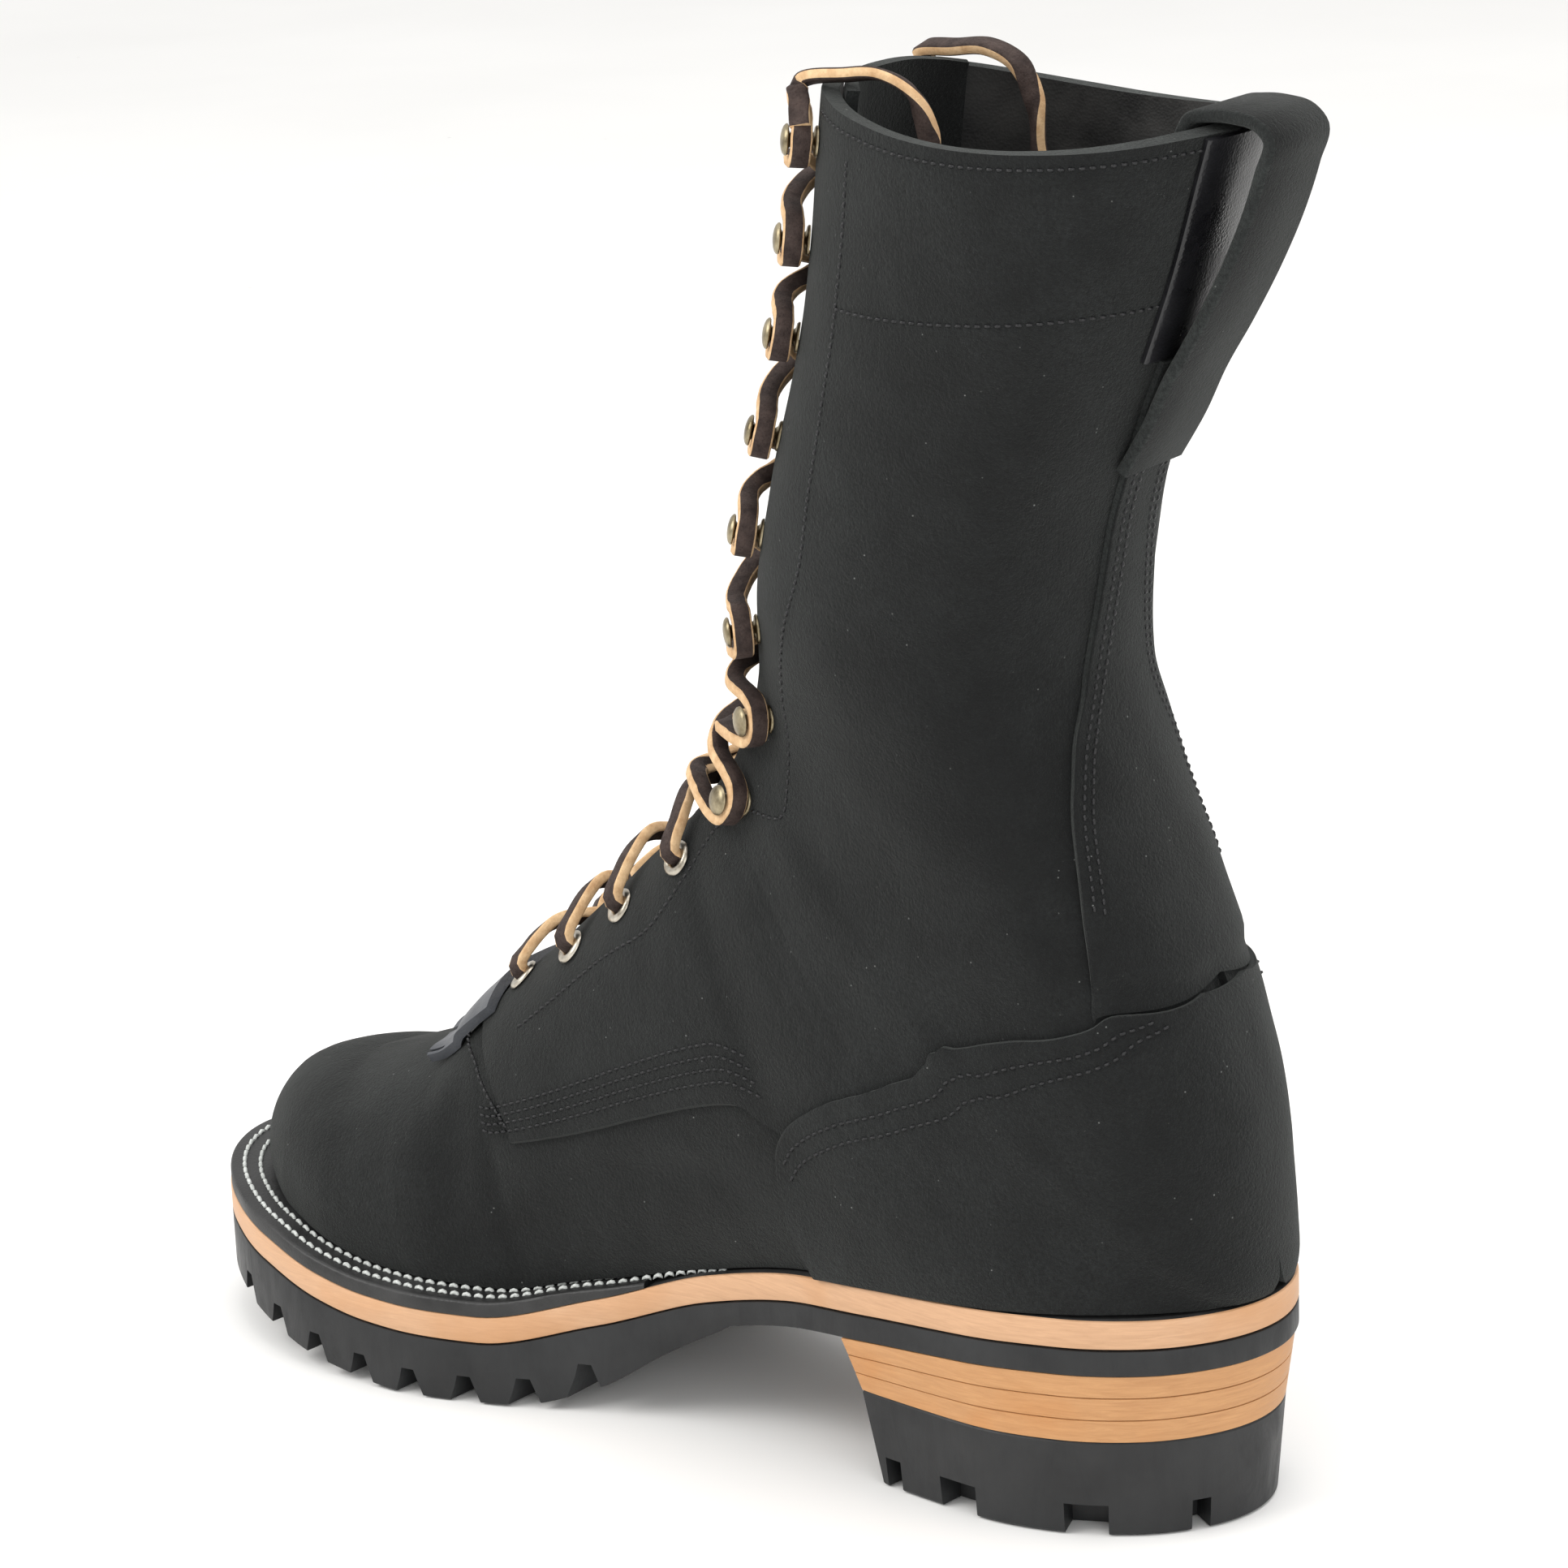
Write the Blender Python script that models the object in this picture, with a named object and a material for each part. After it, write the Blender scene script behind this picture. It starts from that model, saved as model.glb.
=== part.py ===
"""Logger boot for the right foot: a tall laced boot on a lugged sole with a stacked heel.

The toe points to -Y and +X is the wearer's left, which is the inner side of this boot. Sizes are in
millimetres here and become metres in put(). Along is measured from the back rim of the sole forward.
"""
import math

import bmesh
import bpy
import numpy as np

MM = 0.001

# Driving sizes, millimetres
SOLE_LENGTH = 312.0
BALL_WIDTH = 112.0
SEAT_HEIGHT = 57.0
SHAFT_HEIGHT = 276.0
WALL = 2.4
OVERLAY = 2.0
QUARTER_STEP = 1.6
CLEAR = 0.3
STAND_OFF = 0.9
MIDSOLE = 7.2
PLY = 6.8
WELT = 4.0
WELT_LAP = 13.0
CAP_HEIGHT = 25.0
LIFTS = 3
HEEL_LENGTH = 97.0
INSOLE = 3.5
LUG_DEPTH = 7.0
LUG_PITCH = 15.4
LUG_GAP = 5.6
TONGUE = 3.0
KILTIE = 3.0
THROAT = 29.0
LACE_WIDE = 4.8
LACE_THIN = 2.8
LACE_LIFT = 7.4
LACE_TURN = 0.58
LOOP_WIDTH = 25.0
LOOP_THICK = 3.0
HOOK_FLANGE = 3.6
HOOK_NECK = 1.7
HOOK_CAP = 3.7
HOOK_NECK_HEIGHT = 5.4
EYELET_OUTER = 4.6
EYELET_HOLE = 2.4
EYELET_BACK = 8.0
HOOK_BACK = 9.5

# Middle of the finished boot in plan, from the sole's own middle
MIDDLE_X = -0.36
MIDDLE_Y = 3.70

TOP = SEAT_HEIGHT + SHAFT_HEIGHT
HALF = SOLE_LENGTH / 2.0


def table(names, *rows):
    return dict(zip(names.split(), np.array(rows, float).T))


# Sole outline: along is a share of the length, the rest are shares of the ball width.
OUTLINE = table("along half inset_in inset_out",
                (0.00, 0.000, 0.036, 0.036),
                (0.02, 0.165, 0.036, 0.036),
                (0.06, 0.272, 0.034, 0.036),
                (0.12, 0.342, 0.032, 0.036),
                (0.20, 0.376, 0.030, 0.036),
                (0.29, 0.372, 0.026, 0.036),
                (0.38, 0.348, 0.024, 0.040),
                (0.47, 0.341, 0.030, 0.048),
                (0.56, 0.386, 0.058, 0.064),
                (0.65, 0.464, 0.076, 0.076),
                (0.73, 0.500, 0.080, 0.080),
                (0.81, 0.482, 0.080, 0.080),
                (0.88, 0.420, 0.088, 0.088),
                (0.94, 0.312, 0.102, 0.102),
                (0.98, 0.185, 0.110, 0.110),
                (1.00, 0.000, 0.112, 0.112))
# Curve of the middle line toward the inner side, share of the ball width.
SWING = table("along shift",
              (0.00, -0.020), (0.15, 0.008), (0.30, -0.014), (0.45, -0.046),
              (0.60, -0.030), (0.75, 0.000), (0.90, 0.038), (1.00, 0.066))
# Top of the midsole, share of the seat height.
PROFILE = table("along height",
                (0.00, 1.000), (0.13, 0.995), (0.27, 0.945), (0.36, 0.880), (0.46, 0.740),
                (0.56, 0.545), (0.66, 0.415), (0.76, 0.435), (0.88, 0.555), (1.00, 0.660))
# Underside of the forefoot, share of the seat height.
UNDERSIDE = table("along height",
                  (0.44, 0.520), (0.50, 0.330), (0.56, 0.120), (0.62, 0.012), (0.66, 0.000),
                  (0.72, 0.000), (0.80, 0.045), (0.90, 0.160), (1.00, 0.290))
# Back line of the upper: up is a share of the way to the collar, back a share of the sole length.
BACK = table("up back",
             (0.000, 0.024), (0.100, 0.018), (0.210, 0.038), (0.325, 0.077), (0.430, 0.116),
             (0.540, 0.138), (0.650, 0.128), (0.765, 0.098), (0.880, 0.058), (1.000, 0.024))
# Key rows of the upper, from the toe over the instep and the heel to the collar. foot is how far
# the lower end has gone round the foot, up how far up the back line, top_along a share of the sole
# length, top_up a share of the collar's height over the ground, the halves shares of the ball width.
ROWS = table("foot up top_along top_up half_in half_out front back toe dip",
             (0.000, 0.000, 0.868, 0.210, 0.000, 0.000, 0.78, 0.78, 1.0, 0.0),
             (0.255, 0.000, 0.868, 0.210, 0.000, 0.000, 0.78, 0.78, 1.0, 0.0),
             (0.320, 0.000, 0.814, 0.226, 0.000, 0.000, 0.82, 0.82, 0.5, 0.0),
             (0.376, 0.000, 0.762, 0.242, 0.000, 0.000, 0.84, 0.85, 0.0, 0.0),
             (0.426, 0.000, 0.708, 0.288, 0.360, 0.380, 0.74, 0.85, 0.0, 0.0),
             (0.533, 0.000, 0.551, 0.420, 0.335, 0.355, 0.70, 0.90, 0.0, 0.0),
             (0.628, 0.000, 0.490, 0.480, 0.340, 0.355, 0.72, 0.90, 0.0, 0.0),
             (0.767, 0.000, 0.458, 0.522, 0.350, 0.355, 0.75, 0.90, 0.0, 0.0),
             (1.000, 0.000, 0.440, 0.558, 0.340, 0.345, 0.78, 0.88, 0.0, 0.0),
             (1.000, 0.160, 0.432, 0.590, 0.330, 0.335, 0.82, 0.86, 0.0, 0.0),
             (1.000, 0.340, 0.426, 0.625, 0.342, 0.345, 0.80, 0.88, 0.0, 0.0),
             (1.000, 0.520, 0.417, 0.668, 0.368, 0.368, 0.80, 0.88, 0.0, 0.0),
             (1.000, 0.670, 0.400, 0.734, 0.372, 0.372, 0.80, 0.88, 0.0, 0.0),
             (1.000, 0.830, 0.369, 0.852, 0.368, 0.368, 0.80, 0.88, 0.0, 2.0),
             (1.000, 1.000, 0.345, 1.020, 0.366, 0.366, 0.80, 0.88, 0.0, 6.0))
THROAT_ROW = 4.0
UPPER_COLUMNS = 9
LAST_ROW = len(ROWS["foot"]) - 1.0
# Front edge and lower edge of the quarter: row, then the share of the way down the section.
QUARTER = table("row down",
                (4.17, 0.629), (4.60, 0.657), (5.33, 0.686), (5.68, 0.707), (5.93, 0.764),
                (6.50, 0.860), (7.20, 0.960), (8.00, 0.985), (14.0, 0.985))
# Top edge of the counter: row, then the share of the way down the section.
COUNTER = table("row down",
                (5.74, 0.900), (5.95, 0.786), (6.40, 0.736), (6.83, 0.712), (7.20, 0.658),
                (7.50, 0.585), (7.70, 0.544), (8.00, 0.523), (8.20, 0.534), (8.43, 0.557),
                (8.70, 0.600), (9.00, 0.671), (9.20, 0.722), (9.35, 0.760), (9.60, 0.960))
# Side edge of the backstay: row, then the share of the way down the section.
BACKSTAY = table("row down",
                 (9.30, 0.729), (10.0, 0.779), (10.7, 0.857), (11.03, 0.905), (11.75, 0.938),
                 (12.88, 0.950))
HOOK_HEIGHTS = (165.0, 187.0, 209.0, 232.0, 256.0, 280.0, 303.0, 326.0)
EYELET_HEIGHTS = (103.0, 116.0, 130.0, 146.0)


def smooth(xs, ys, x):
    """Monotone cubic through the rows of a table."""
    xs = np.asarray(xs, float)
    ys = np.asarray(ys, float)
    x = np.clip(np.asarray(x, float), xs[0], xs[-1])
    h = np.diff(xs)
    d = np.diff(ys) / h
    m = np.zeros(len(xs))
    m[0] = d[0]
    m[-1] = d[-1]
    same = d[:-1] * d[1:] > 0
    w1 = 2 * h[1:] + h[:-1]
    w2 = h[1:] + 2 * h[:-1]
    before = np.where(same, d[:-1], 1.0)
    after = np.where(same, d[1:], 1.0)
    m[1:-1] = np.where(same, (w1 + w2) / (w1 / before + w2 / after), 0.0)
    i = np.clip(np.searchsorted(xs, x, side="right") - 1, 0, len(xs) - 2)
    t = (x - xs[i]) / h[i]
    a = (1 + 2 * t) * (1 - t) ** 2 * ys[i] + t * (1 - t) ** 2 * h[i] * m[i]
    b = t * t * (3 - 2 * t) * ys[i + 1] + t * t * (t - 1) * h[i] * m[i + 1]
    return a + b


def half_width(along):
    """Half the sole's width; taken over the turn of a half circle so that both ends are round."""
    turn = np.arccos(np.clip(1.0 - 2.0 * np.asarray(along, float) / SOLE_LENGTH, -1.0, 1.0))
    return BALL_WIDTH * smooth(np.arccos(1.0 - 2.0 * OUTLINE["along"]), OUTLINE["half"], turn)


def swing(along):
    return BALL_WIDTH * smooth(SWING["along"], SWING["shift"], along / SOLE_LENGTH)


def midsole_top(along):
    return SEAT_HEIGHT * smooth(PROFILE["along"], PROFILE["height"], along / SOLE_LENGTH)


def welt_height(along):
    return WELT * np.clip((along / SOLE_LENGTH - 0.46) / 0.14, 0.0, 1.0)


def seat(along):
    """Where the upper and the insole rest."""
    return midsole_top(along) + welt_height(along)


def underside(along):
    low = SEAT_HEIGHT * smooth(UNDERSIDE["along"], UNDERSIDE["height"], along / SOLE_LENGTH)
    high = midsole_top(along) - MIDSOLE - PLY
    return np.where(along < 0.44 * SOLE_LENGTH, high, np.minimum(low, high))


def rim(inset_in=0.0, inset_out=None, count=49):
    """Inner and outer edge of the sole, back to front, moved inward by the insets."""
    if inset_out is None:
        inset_out = inset_in
    turn = np.linspace(0.0, math.pi, count)
    along = HALF * (1.0 - np.cos(turn))
    inner = np.stack([swing(along) + half_width(along), along], -1)
    outer = np.stack([swing(along) - half_width(along), along], -1)
    loop = np.concatenate([inner, outer[-2:0:-1]])
    back = np.roll(loop, 1, axis=0)
    ahead = np.roll(loop, -1, axis=0)
    run = ahead - back
    run /= np.linalg.norm(run, axis=1)[:, None]
    normal = np.stack([run[:, 1], -run[:, 0]], -1)
    share = loop[:, 1] / SOLE_LENGTH
    one = inset_in(share) if callable(inset_in) else np.full(len(loop), float(inset_in))
    two = inset_out(share) if callable(inset_out) else np.full(len(loop), float(inset_out))
    amount = np.where(loop[:, 0] >= swing(loop[:, 1]), one, two)
    moved = loop - normal * amount[:, None]
    near = moved[:count]
    far = np.concatenate([moved[:1], moved[count:][::-1], moved[count - 1:count]])
    return near, far


def feather_in(share):
    return BALL_WIDTH * smooth(OUTLINE["along"], OUTLINE["inset_in"], share)


def feather_out(share):
    return BALL_WIDTH * smooth(OUTLINE["along"], OUTLINE["inset_out"], share)


FEATHER_IN, FEATHER_OUT = rim(feather_in, feather_out)


def feather(foot):
    """Points of the feather line: foot 0 is the toe tip, foot 1 the back of the heel."""
    place = (1.0 - np.clip(foot, 0.0, 1.0)) * (len(FEATHER_IN) - 1)
    step = np.arange(len(FEATHER_IN))
    near = np.stack([np.interp(place, step, FEATHER_IN[:, c]) for c in (0, 1)], -1)
    far = np.stack([np.interp(place, step, FEATHER_OUT[:, c]) for c in (0, 1)], -1)
    return near, far


# The upper's surface

def skin(row, down, side):
    """Point of the upper: row along the keys, down 0 at the front line and 1 at the lower end."""
    row = np.asarray(row, float)
    down = np.asarray(down, float)
    side = np.asarray(side, float)
    keys = np.arange(len(ROWS["foot"]))
    r = {name: smooth(keys, ROWS[name], row) for name in ROWS}
    near, far = feather(r["foot"])
    inner = side >= 0
    end_x = np.where(inner, near[..., 0], far[..., 0])
    end_y = np.where(inner, near[..., 1], far[..., 1])
    back = SOLE_LENGTH * smooth(BACK["up"], BACK["back"], r["up"])
    foot_end = FEATHER_IN[0]
    past = np.clip(r["up"] * 12.0, 0.0, 1.0)
    end_y = np.where(r["up"] > 0, foot_end[1] * (1 - past) + back * past, end_y)
    end_x = np.where(r["up"] > 0, foot_end[0] * (1 - np.clip(r["up"], 0, 1)), end_x)
    end_z = np.where(r["up"] > 0, seat(foot_end[1]) + r["up"] * (TOP - SEAT_HEIGHT), seat(end_y))
    end_z = end_z + (CLEAR + 0.35) * (1 - r["up"])
    top_y = SOLE_LENGTH * r["top_along"]
    top_z = TOP * r["top_up"]
    top_x = swing(top_y) * np.clip((r["top_along"] - 0.5) / 0.2, 0.0, 1.0)
    low_x = top_x + (foot_end[0] * (1 - r["up"]) - top_x) * np.clip((r["foot"] - 0.7) / 0.3, 0.0, 1.0)
    low_x = low_x + (FEATHER_IN[-1][0] - top_x) * r["toe"]
    reach = np.where(inner, end_x - low_x, low_x - end_x)
    width = BALL_WIDTH * np.where(inner, r["half_in"], r["half_out"])
    width = np.maximum(width, 1.03 * reach)
    width = np.maximum(width, 1e-3)
    power = r["back"]
    over = np.clip(reach / width, 0.0, 0.971)
    end_turn = math.pi - np.arcsin(over ** (1.0 / power))
    end_turn = np.where(row <= 1e-9, math.pi - math.asin(0.971 ** (1 / 0.78)), end_turn)
    width = np.where(row <= 1e-9, 0.0, width)
    turn = down * end_turn
    front_half = turn < math.pi / 2
    shape = np.clip(np.sin(turn), 0.0, 1.0) ** np.where(front_half, r["front"], r["back"])
    drop = (1 - np.cos(turn)) / (1 - np.cos(end_turn))
    shape_end = np.maximum(np.sin(end_turn), 1e-9) ** power
    flat = np.where(r["toe"] > 0, shape / np.maximum(shape_end, 0.5), 0.0)
    along_share = (1 - r["toe"]) * drop + r["toe"] * flat
    base_x = top_x + (low_x - top_x) * along_share
    x = base_x + np.where(inner, 1.0, -1.0) * width * shape
    y = top_y + (end_y - top_y) * along_share
    z = top_z + (end_z - top_z) * drop
    z = z - r["dip"] * np.sin(turn) ** 2
    return np.stack([x, y, z], -1)


def fold(place):
    """Signed place round a section: 0 front, below 0 the outer side, above 1 past the back."""
    place = np.asarray(place, float)
    side = np.where((place < 0) | (place > 1), -1.0, 1.0)
    down = np.where(place > 1, 2.0 - place, np.abs(place))
    return side, down


def spot(row, place, lift=0.0):
    """Point of the upper moved out along its normal by lift."""
    row, place, lift = np.broadcast_arrays(np.asarray(row, float), place, lift)
    side, down = fold(place)
    point = skin(row, down, side)
    low = np.clip(row - 0.03, 0.0, LAST_ROW)
    high = np.clip(row + 0.03, 0.0, LAST_ROW)
    small = np.clip(down, 0.012, 0.988)
    on_middle = (down < 1e-6) | ((down > 1 - 1e-6) & (row >= 8.0))
    side = np.where(on_middle, 1.0, side)
    by_row = skin(high, small, side) - skin(low, small, side)
    by_down = skin(row, small + 0.01, side) - skin(row, small - 0.01, side)
    normal = np.cross(by_row, by_down) * side[..., None]
    normal[..., 0] = np.where(on_middle, 0.0, normal[..., 0])
    normal /= np.maximum(np.linalg.norm(normal, axis=-1), 1e-12)[..., None]
    return point + normal * lift[..., None]


EDGES = {}


def facing_edge(row, half=THROAT / 2.0):
    """How far down the section the edge of the throat lies."""
    if half not in EDGES:
        rows = np.concatenate([np.linspace(THROAT_ROW, THROAT_ROW + 0.6, 31),
                               np.linspace(THROAT_ROW + 0.65, LAST_ROW, 160)])
        EDGES[half] = (rows, find_edge(rows, half))
    return np.interp(row, *EDGES[half])


def find_edge(row, half):
    gap = half * np.clip((row - THROAT_ROW) / 0.45, 0.0, 1.0) ** 0.5
    low = np.zeros_like(row)
    high = np.full_like(row, 0.5)
    for _ in range(30):
        mid = (low + high) / 2
        wide = skin(row, mid, np.ones_like(row))[..., 0] - skin(row, 0 * mid, np.ones_like(row))[..., 0]
        low = np.where(wide < gap, mid, low)
        high = np.where(wide < gap, high, mid)
    return np.where(row <= THROAT_ROW, 0.0, (low + high) / 2)


def row_at(height, place_of):
    low = THROAT_ROW
    high = LAST_ROW
    for _ in range(40):
        mid = (low + high) / 2
        if spot(mid, place_of(mid))[2] < height:
            low = mid
        else:
            high = mid
    return (low + high) / 2


# Mesh helpers

def material(name, colour, rough, metal=0.0):
    mat = bpy.data.materials.new(name)
    mat.use_nodes = True
    shader = mat.node_tree.nodes["Principled BSDF"]
    shader.inputs["Base Color"].default_value = (*colour, 1.0)
    shader.inputs["Roughness"].default_value = rough
    shader.inputs["Metallic"].default_value = metal
    return mat


LOOKS = {
    "suede": ((0.030, 0.031, 0.029), 0.95, 0.0),
    "smooth_leather": ((0.028, 0.029, 0.033), 0.55, 0.0),
    "tan_leather": ((0.480, 0.270, 0.130), 0.60, 0.0),
    "stack_leather": ((0.440, 0.235, 0.110), 0.65, 0.0),
    "rubber": ((0.018, 0.018, 0.019), 0.70, 0.0),
    "welt_leather": ((0.022, 0.021, 0.021), 0.60, 0.0),
    "lining": ((0.260, 0.180, 0.120), 0.80, 0.0),
    "rawhide": ((0.085, 0.045, 0.028), 0.75, 0.0),
    "brass": ((0.230, 0.160, 0.085), 0.42, 0.9),
}


def put(name, points, faces, look):
    """One closed solid from millimetre points (x, along, z)."""
    points = np.asarray(points, float)
    place = np.stack([points[:, 0] - MIDDLE_X, HALF - points[:, 1] - MIDDLE_Y, points[:, 2]], -1) * MM
    mesh = bpy.data.meshes.new(name)
    mesh.from_pydata([tuple(p) for p in place], [], [tuple(int(i) for i in f) for f in faces])
    work = bmesh.new()
    work.from_mesh(mesh)
    bmesh.ops.remove_doubles(work, verts=work.verts, dist=1e-6)
    bmesh.ops.dissolve_degenerate(work, edges=work.edges, dist=1e-7)
    bmesh.ops.recalc_face_normals(work, faces=work.faces)
    work.to_mesh(mesh)
    work.free()
    mesh.materials.append(material(name + "_" + look, *LOOKS[look]))
    solid = bpy.data.objects.new(name, mesh)
    PARTS.objects.link(solid)
    return solid


def cut(target, cutter, kind="DIFFERENCE"):
    modifier = target.modifiers.new("cut", "BOOLEAN")
    modifier.operation = kind
    modifier.solver = "EXACT"
    modifier.use_self = kind == "DIFFERENCE"
    modifier.object = cutter
    depsgraph = bpy.context.evaluated_depsgraph_get()
    mesh = bpy.data.meshes.new_from_object(target.evaluated_get(depsgraph))
    target.modifiers.clear()
    target.data = mesh
    bpy.data.objects.remove(cutter)
    keep_main(mesh)
    return target


def keep_main(mesh):
    """Keep the largest body that a Boolean leaves, and drop its crumbs."""
    work = bmesh.new()
    work.from_mesh(mesh)
    left = set(work.verts)
    bodies = []
    while left:
        seed = left.pop()
        body = {seed}
        queue = [seed]
        while queue:
            for edge in queue.pop().link_edges:
                for vert in edge.verts:
                    if vert in left:
                        left.discard(vert)
                        body.add(vert)
                        queue.append(vert)
        bodies.append(body)
    bodies.sort(key=len)
    for body in bodies[:-1]:
        bmesh.ops.delete(work, geom=list(body), context="VERTS")
    bmesh.ops.remove_doubles(work, verts=work.verts, dist=2e-6)
    bmesh.ops.dissolve_degenerate(work, edges=work.edges, dist=2e-6)
    work.to_mesh(mesh)
    work.free()


def tool(name, points, faces):
    """A cutter from millimetre points, kept out of the part's collection."""
    solid = put(name, points, faces, "rubber")
    PARTS.objects.unlink(solid)
    CUTTERS.objects.link(solid)
    solid.hide_render = True
    solid.display_type = "WIRE"
    return solid


def plate(near, far, top, bottom):
    """Solid between an inner and an outer edge that run back to front."""
    count = len(near)
    rings = []
    for edge in (near, far):
        for height in (top, bottom):
            rings.append(np.column_stack([edge, height(edge[:, 1])]))
    points = np.concatenate(rings)
    in_top, in_low, out_top, out_low = (k * count for k in range(4))
    faces = []
    for i in range(count - 1):
        j = i + 1
        faces.append((in_top + i, in_top + j, out_top + j, out_top + i))
        faces.append((in_low + i, out_low + i, out_low + j, in_low + j))
        faces.append((in_top + i, in_low + i, in_low + j, in_top + j))
        faces.append((out_top + i, out_top + j, out_low + j, out_low + i))
    for i in (0, count - 1):
        faces.append((in_top + i, out_top + i, out_low + i, in_low + i))
    return points, faces


def shell(outer, inner, faces):
    """Close a sheet: outer and inner hold the same grid, faces index it."""
    outer = np.asarray(outer, float)
    inner = np.asarray(inner, float)
    keys = {}
    same = []
    for i, p in enumerate(outer):
        same.append(keys.setdefault(tuple(np.round(p, 3)), i))
    clean = []
    for face in faces:
        loop = []
        for i in face:
            if not loop or same[i] != loop[-1]:
                loop.append(same[i])
        if len(loop) > 1 and loop[0] == loop[-1]:
            loop.pop()
        if len(loop) > 2:
            clean.append(tuple(loop))
    count = len(outer)
    sides = {}
    for face in clean:
        for a, b in zip(face, face[1:] + face[:1]):
            sides[(a, b)] = sides.get((a, b), 0) + 1
    solid = list(clean)
    solid += [tuple(i + count for i in reversed(face)) for face in clean]
    for (a, b) in sides:
        if (b, a) not in sides:
            solid.append((b, a, a + count, b + count))
    return np.concatenate([outer, inner]), solid


def grid_faces(rows, cols, start=0):
    faces = []
    for i in range(rows - 1):
        for j in range(cols - 1):
            a = start + i * cols + j
            faces.append((a, a + 1, a + cols + 1))
            faces.append((a, a + cols + 1, a + cols))
    return faces


def prism(outline, low, high):
    """Upright prism: outline holds (x, along) points."""
    outline = np.asarray(outline, float)
    count = len(outline)
    points = np.concatenate([np.column_stack([outline, np.full(count, low)]),
                             np.column_stack([outline, np.full(count, high)])])
    faces = [tuple(range(count))[::-1], tuple(range(count, 2 * count))]
    for i in range(count):
        j = (i + 1) % count
        faces.append((i, j, count + j, count + i))
    return points, faces


# Sole

def heel_edges(share, setback, count=15):
    """D-shaped outline of the heel, shrunk toward its middle; the last pair is the breast."""
    along = HEEL_LENGTH * np.linspace(0.0, 1.0, count) ** 1.7
    moved = setback + along * (1.0 - setback / HEEL_LENGTH)
    half = half_width(along) * share
    middle = swing(along)
    return np.column_stack([middle + half, moved]), np.column_stack([middle - half, moved])


def heel_block(name, low, high, look):
    """low and high are (height function or number, width share, setback, breast shift)."""
    rings = []
    for height, share, setback, shift in (high, low):
        near, far = heel_edges(share, setback)
        for edge in (near, far):
            edge[:, 1] += shift * (edge[:, 1] / HEEL_LENGTH) ** 2
            level = height(edge[:, 1]) if callable(height) else np.full(len(edge), float(height))
            rings.append(np.column_stack([edge, level]))
    count = len(rings[0])
    points = np.concatenate([rings[0], rings[2], rings[1], rings[3]])
    in_top, in_low, out_top, out_low = (k * count for k in range(4))
    faces = []
    for i in range(count - 1):
        j = i + 1
        faces.append((in_top + i, in_top + j, out_top + j, out_top + i))
        faces.append((in_low + i, out_low + i, out_low + j, in_low + j))
        faces.append((in_top + i, in_low + i, in_low + j, in_top + j))
        faces.append((out_top + i, out_top + j, out_low + j, out_low + i))
    last = count - 1
    faces.append((in_top + last, in_low + last, out_low + last, out_top + last))
    faces.append((in_top, out_top, out_low, in_low))
    return put(name, points, faces, look)


def heel_top(along):
    return midsole_top(along) - MIDSOLE - PLY


def build_heel():
    def level(k):
        share = k / LIFTS
        return lambda along: CAP_HEIGHT + (heel_top(along) - CAP_HEIGHT) * share

    def gapped(height):
        return lambda along: height(along) - CLEAR

    for k in range(LIFTS):
        low = (level(k), 0.955 + 0.012 * k, 3.4 - 0.9 * k, -3.0 + 1.6 * k)
        high = (gapped(level(k + 1)), 0.967 + 0.012 * k, 2.5 - 0.9 * k, -1.4 + 1.6 * k)
        heel_block("heel_lift_%d" % (k + 1), low, high, "stack_leather")
    cap = heel_block("heel_cap", (0.0, 0.90, 5.5, -7.0), (CAP_HEIGHT - CLEAR, 0.955, 3.4, -3.0), "rubber")
    near, far = heel_edges(0.90, 5.5)
    notch_points = []
    notch_faces = []
    for edge in (near, far):
        for place, size in ((3, 4.0), (7, 9.0), (11, 9.0), (13, 4.0)):
            middle = edge[place]
            run = edge[min(place + 1, len(edge) - 1)] - edge[place - 1]
            run = run / np.linalg.norm(run)
            side = np.array([run[1], -run[0]])
            if np.dot(side, middle - np.array([0.0, HEEL_LENGTH / 2])) < 0:
                side = -side
            corners = [middle - run * size / 2 - side * 7.0, middle + run * size / 2 - side * 7.0,
                       middle + run * size * 0.7 + side * 9.0, middle - run * size * 0.7 + side * 9.0]
            points, faces = prism(corners, -2.0, 8.0)
            notch_faces += [tuple(i + len(notch_points) for i in f) for f in faces]
            notch_points += list(points)
    cut(cap, tool("cap_notches", notch_points, notch_faces))


def build_outsole():
    near, far = rim(0.0, count=61)
    body_points, body_faces = plate(near, far, lambda a: midsole_top(a) - MIDSOLE - CLEAR, underside)
    sole = put("outsole", body_points, body_faces, "rubber")
    points = []
    faces = []
    first = 0.565 * SOLE_LENGTH
    for k in range(8):
        along = first + k * LUG_PITCH
        for side in (-1.0, 1.0):
            edge = swing(along) + side * half_width(along)
            inner = swing(along) + side * half_width(along) * 0.52
            tilt = side * 2.5
            wide = LUG_GAP / 2
            low = float(underside(along)) - 3.0
            roof = float(underside(along)) + LUG_DEPTH
            box = []
            for height, w in ((low, wide + 0.9), (roof, wide * 0.45)):
                box += [(inner, along - w, height), (inner, along + w, height),
                        (edge + side * 14.0, along + w * 1.5 + abs(tilt), height),
                        (edge + side * 14.0, along - w * 1.5 + abs(tilt), height)]
            base = len(points)
            points += box
            faces += [tuple(base + i for i in f) for f in
                      ((0, 1, 2, 3), (4, 7, 6, 5), (0, 4, 5, 1), (1, 5, 6, 2), (2, 6, 7, 3), (3, 7, 4, 0))]
    cut(sole, tool("lug_notches", points, faces))
    return sole


def build_midsole():
    near, far = rim(0.0, count=57)
    put("midsole", *plate(near, far, midsole_top, lambda a: midsole_top(a) - MIDSOLE), "tan_leather")


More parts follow.
